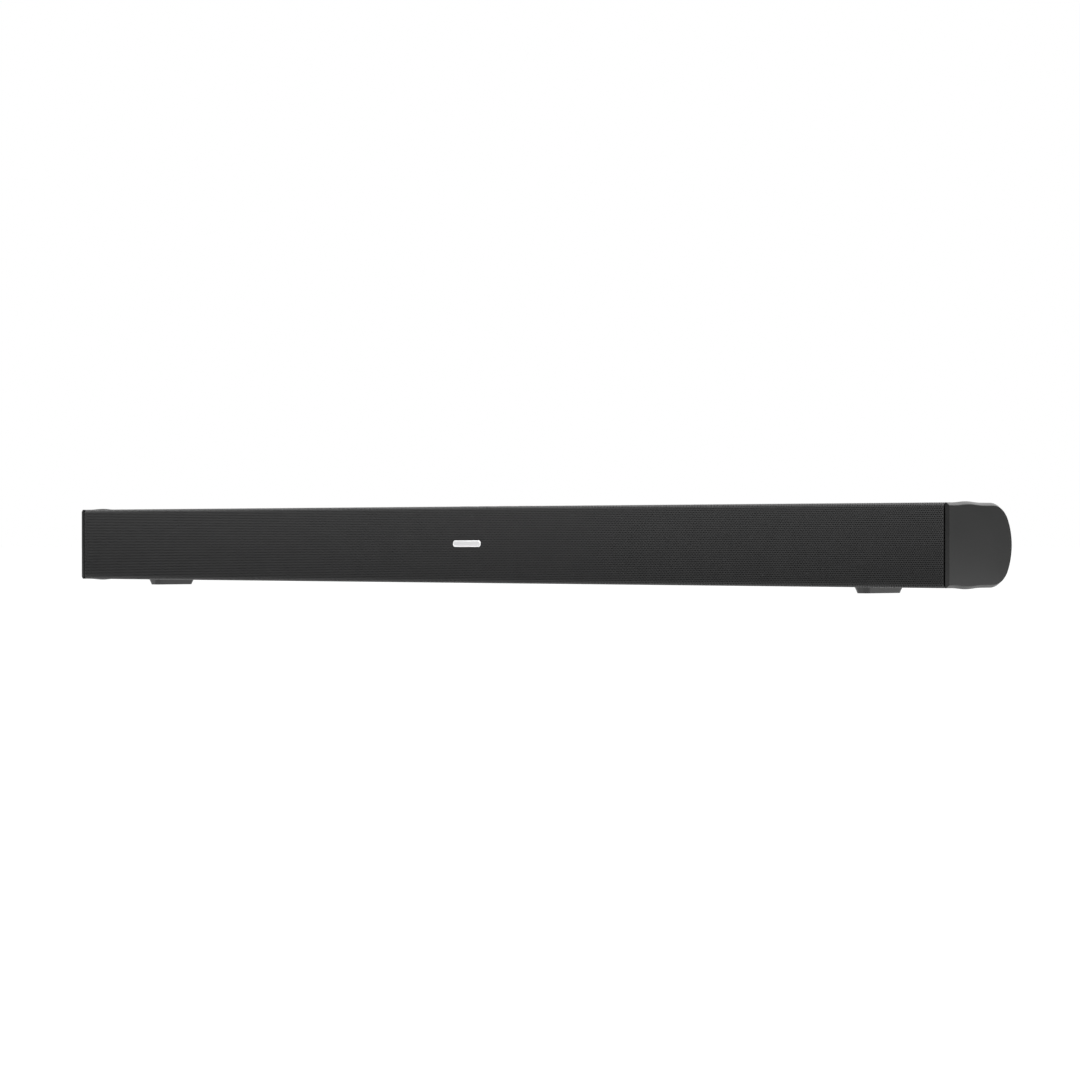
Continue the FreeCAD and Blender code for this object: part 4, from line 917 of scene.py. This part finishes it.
basket_steel = powder_coat("basket_steel", (0.02, 0.02, 0.021), 0.38)
motor_steel = bare_metal("motor_steel", (0.5, 0.5, 0.47), 0.32, marks=(900, 200, 900), tarnish=0.6)
cone_paper = ringed_finish("cone_paper", (0.013, 0.013, 0.014), 0.75, 260, 0.9, 900.0)
surround_rubber = moulded_plastic("surround_rubber", (0.007, 0.007, 0.007), 0.55, grain_depth=0.15)
for driver in woofer_names:
    paint([f"{driver}_woofer_basket"], basket_steel)
    paint([f"{driver}_woofer_motor"], motor_steel)
    paint([f"{driver}_woofer_cone"], cone_paper)
    paint([f"{driver}_woofer_suspension"], surround_rubber)

# --- Tweeters ---------------------------------------------------------------------------------
# Two soft-dome tweeters near the ends: moulded face plate, small ferrite motor, and a dome of
# doped woven silk.
silk = ringed_finish("dome_fabric", (0.016, 0.015, 0.014), 0.6, 700, 1.0, 3200.0)
for side in ("left", "right"):
    paint([f"{side}_tweeter_plate"], baffle_plastic)
    paint([f"{side}_tweeter_motor"], motor_steel)
    paint([f"{side}_tweeter_dome"], silk)

# --- Boards -----------------------------------------------------------------------------------
# Fibreglass boards with a green solder mask over copper tracks. The main board carries the
# amplifier, its cans and chokes, and a black anodised heat sink with nine fins.


def solder_mask(name, colour):
    """Glossy lacquer over a maze of square-cornered tracks."""
    material, tree, shader = new_material(name, roughness=0.35, coat_weight=0.4, coat_roughness=0.2)
    place = tree.nodes.new("ShaderNodeTexCoord")
    tracks = tree.nodes.new("ShaderNodeTexBrick")
    tracks.inputs["Scale"].default_value = 160
    tracks.inputs["Mortar Size"].default_value = 0.06
    tracks.offset = 0.37
    tracks.squash = 0.6
    tracks.inputs["Color1"].default_value = (*colour, 1)
    tracks.inputs["Color2"].default_value = (*[c * 0.75 for c in colour], 1)
    tracks.inputs["Mortar"].default_value = (*[c * 1.9 for c in colour], 1)
    swap = tree.nodes.new("ShaderNodeSeparateXYZ")
    flat = tree.nodes.new("ShaderNodeCombineXYZ")
    tree.links.new(place.outputs["Object"], swap.inputs[0])
    tree.links.new(swap.outputs["X"], flat.inputs["X"])
    tree.links.new(maths(tree, "ADD", swap.outputs["Z"], swap.outputs["Y"]), flat.inputs["Y"])
    tree.links.new(flat.outputs[0], tracks.inputs["Vector"])
    tree.links.new(tracks.outputs["Color"], shader.inputs["Base Color"])
    tree.links.new(bump(tree, tracks.outputs["Fac"], 0.6, 0.03 * mm), shader.inputs["Normal"])
    return material


board_laminate = solder_mask("board_laminate", (0.01, 0.07, 0.03))
chip_plastic = moulded_plastic("chip_plastic", (0.018, 0.018, 0.02), 0.6, grain_scale=2400.0)
sink_aluminium = bare_metal("sink_aluminium", (0.06, 0.06, 0.062), 0.42, marks=(4000, 60, 300))
paint(["main_board", "button_board", "sensor_board"], board_laminate)
paint(["board_components", "button_switches"], chip_plastic)
paint(["heat_sink"], sink_aluminium)

# --- Connector panel and sockets --------------------------------------------------------------
# A satin black plate in the recess at the back. The sockets stand on the main board behind it and
# show through its windows, each with its own shell, tongue and plated contacts.
panel_plastic = moulded_plastic("panel_plastic", (0.014, 0.014, 0.014), 0.38, grain_scale=2200.0)
socket_plastic = moulded_plastic("socket_plastic", (0.02, 0.02, 0.02), 0.4, grain_scale=3000.0)
socket_metal = bare_metal("socket_metal", (0.62, 0.61, 0.58), 0.28, marks=(700, 90, 700))
contact_gold = bare_metal("contact_gold", (0.83, 0.6, 0.25), 0.22, marks=(2000, 100, 2000),
                          tarnish=0.1)
contact_thickness = 0.15 * mm
contact_setback = 1.6 * mm
collar_break = 0.2 * mm
paint(["connector_panel"], panel_plastic)
paint(["dc_inlet", "aux_socket", "optical_socket"], socket_plastic)
paint(["usb_socket", "hdmi_socket"], socket_metal)
paint(["optical_flap"], moulded_plastic("flap_plastic", (0.03, 0.03, 0.032), 0.3, grain_depth=0.1))


def contact_blank(wide, long, thick):
    """A small plated finger with its outer end bent over."""
    mesh = bmesh.new()
    half = wide / 2
    section = [(0, 0), (long * 0.85, 0), (long, -thick * 0.7), (long, -thick * 1.6),
               (long * 0.82, -thick), (0, -thick)]
    skin_rings(mesh, [[(x, y, z) for y, z in section] for x in (-half, half)])
    return bpy.data.objects.new("contact", plain_mesh("contact", mesh, turn_out=True))


def contact_row(name, node, count, pitch_along, rise, deep, wide):
    """Plated fingers on the underside of a socket's tongue."""
    low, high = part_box(node)
    centre = (low[0] + high[0]) / 2
    start = high[1] - deep
    level = (low[2] + high[2]) / 2 + rise
    places = [(centre + (i - (count - 1) / 2) * pitch_along, start, level) for i in range(count)]
    shape = contact_blank(wide, deep - contact_setback, contact_thickness)
    piece = set_shapes(name, shape, places, contact_gold)
    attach(piece, "bar")


contact_row("usb_contacts", "usb_socket", count=4, pitch_along=2.2 * mm, rise=0.29 * mm,
            deep=9 * mm, wide=1.1 * mm)
contact_row("hdmi_contacts", "hdmi_socket", count=19, pitch_along=0.55 * mm, rise=-0.01 * mm,
            deep=8 * mm, wide=0.3 * mm)


def socket_ring(name, node, inner, outer, proud):
    """A plated or moulded collar round a round socket's mouth."""
    low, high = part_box(node)
    mesh = bmesh.new()
    face = high[1]
    front, soft = face + proud, collar_break
    profile = [(inner, face - 2 * mm), (inner, front - soft), (inner + soft, front),
               (outer - soft, front), (outer, front - soft), (outer, face - 0.1 * mm)]
    centre = ((low[0] + high[0]) / 2, (low[2] + high[2]) / 2)
    lathe(mesh, profile + profile[:1], 32, centre, close=False)
    bmesh.ops.remove_doubles(mesh, verts=mesh.verts, dist=0.000001)
    piece = finish_mesh(name, mesh, socket_metal)
    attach(piece, "bar")


socket_ring("aux_collar", "aux_socket", inner=1.85 * mm, outer=3.3 * mm, proud=0.3 * mm)
socket_ring("dc_collar", "dc_inlet", inner=2.9 * mm, outer=4.1 * mm, proud=0.25 * mm)

# --- Buttons ----------------------------------------------------------------------------------
# Four soft-touch keys in the top of the shell, each with a domed crown, a stem below it and a
# printed mark: power, source, minus and plus.
button_plastic = moulded_plastic("button_plastic", (0.012, 0.012, 0.0125), 0.6, grain_scale=2600.0,
                                 handling=0.12)
mark_ink = moulded_plastic("mark_ink", (0.55, 0.55, 0.55), 0.55, grain_scale=1200.0,
                           grain_depth=0.1)
key_lip = 1.2 * mm
key_height = 3.9 * mm
key_lip_height = 1 * mm
crown_edge = 0.5 * mm
stem_radius = 1 * mm
mark_width = 0.45 * mm
mark_thickness = 0.1 * mm
mark_proud = 0.03 * mm


def stroke(mesh, points, wide, level):
    """A printed line of even width through points (x, y) on a flat crown."""
    reach = wide / 2
    for (x1, y1), (x2, y2) in zip(points, points[1:]):
        length = math.hypot(x2 - x1, y2 - y1)
        ux, uy = (x2 - x1) / length * reach, (y2 - y1) / length * reach
        first = (x1 - ux * 0.4, y1 - uy * 0.4)
        last = (x2 + ux * 0.4, y2 + uy * 0.4)
        corners = [(first[0] - uy, first[1] + ux), (first[0] + uy, first[1] - ux),
                   (last[0] + uy, last[1] - ux), (last[0] - uy, last[1] + ux)]
        skin_rings(mesh, [[(x, y, z) for x, y in corners]
                          for z in (level - mark_thickness, level)])


def ring_points(radius, first, last, steps=16):
    """Points (x, y) along an arc about the middle, angles in degrees."""
    turns = [math.radians(first + (last - first) * i / steps) for i in range(steps + 1)]
    return [(radius * math.cos(t), radius * math.sin(t)) for t in turns]


def marks_for(name):
    """The lines of a key's printed mark, about the middle of its crown."""
    arm = 1.5 * mm
    if name == "volume_up":
        return [[(-arm, 0), (arm, 0)], [(0, -arm), (0, arm)]]
    if name == "volume_down":
        return [[(-arm, 0), (arm, 0)]]
    if name == "power":
        return [ring_points(1.4 * mm, 125, 415), [(0, 0.5 * mm), (0, 1.9 * mm)]]
    wide, tall, tip = 1.7 * mm, 1.1 * mm, 0.4 * mm
    box = [(-wide, tall), (wide, tall), (wide, -tall), (-wide, -tall), (-wide, -0.5 * mm)]
    head = [(-0.3 * mm, 0.6 * mm), (tip, 0), (-0.3 * mm, -0.6 * mm)]
    return [box, [(-wide, 0), (tip, 0)], head]


def push_button(name):
    """A key with its lip, crown and stem, and the mark printed on it, which moves with it."""
    node = name + "_button"
    low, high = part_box(node)
    mesh = bmesh.new()
    lip = (low[:2], high[:2])
    crown = ((low[0] + key_lip, low[1] + key_lip), (high[0] - key_lip, high[1] - key_lip))
    top = high[2]
    under = top - key_height
    rings = [(lip, under, 0), (lip, under + key_lip_height, 0), (crown, under + key_lip_height, 0),
             (crown, top - crown_edge, 0)]
    for i in range(1, 6):
        turn = math.radians(18 * i)
        rings.append((crown, top - crown_edge * (1 - math.sin(turn)),
                      crown_edge * (1 - math.cos(turn))))
    skin_rings(mesh, [[(x, y, level) for x, y in pill_ring(*corners, inset)]
                      for corners, level, inset in rings])
    centre = ((low[0] + high[0]) / 2, (low[1] + high[1]) / 2)
    turns = [2 * math.pi * i / 16 for i in range(16)]
    skin_rings(mesh, [[(centre[0] + stem_radius * math.cos(t),
                        centre[1] + stem_radius * math.sin(t), z) for t in turns]
                      for z in (low[2], under + 0.2 * mm)])
    piece = finish_mesh(name + "_key", mesh, button_plastic)
    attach(piece, node + "_body")
    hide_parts(node)
    ink = bmesh.new()
    for line in marks_for(name):
        stroke(ink, [(x + centre[0], y + centre[1]) for x, y in line], mark_width,
               top + mark_proud)
    mark = finish_mesh(name + "_mark", ink, mark_ink)
    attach(mark, node + "_body")


for button in ("power", "source", "volume_down", "volume_up"):
    push_button(button)

# --- Sensor lens ------------------------------------------------------------------------------
# A dark red window in the baffle for the remote control's signal, moulded in dyed acrylic.
lens_plastic = moulded_plastic("lens_plastic", (0.03, 0.003, 0.004), 0.08, grain_scale=600.0,
                               grain_depth=0.05, handling=0.03)
paint(["sensor_lens"], lens_plastic)

# --- Wall inserts -----------------------------------------------------------------------------
# Two brass bushes pressed into the back of the shell, tapped for the screws of a wall bracket.
insert_brass = bare_metal("insert_brass", (0.72, 0.5, 0.22), 0.3, marks=(300, 2600, 300), depth=0.8)
paint(["wall_inserts"], insert_brass)

# --- Speaker leads ----------------------------------------------------------------------------
# A twisted pair in a dark grey jacket on each side, from the main board to the drivers.
paint(["speaker_leads"], moulded_plastic("lead_jacket", (0.03, 0.03, 0.032), 0.5, grain_scale=500.0,
                                         grain_depth=0.4, handling=0.15))
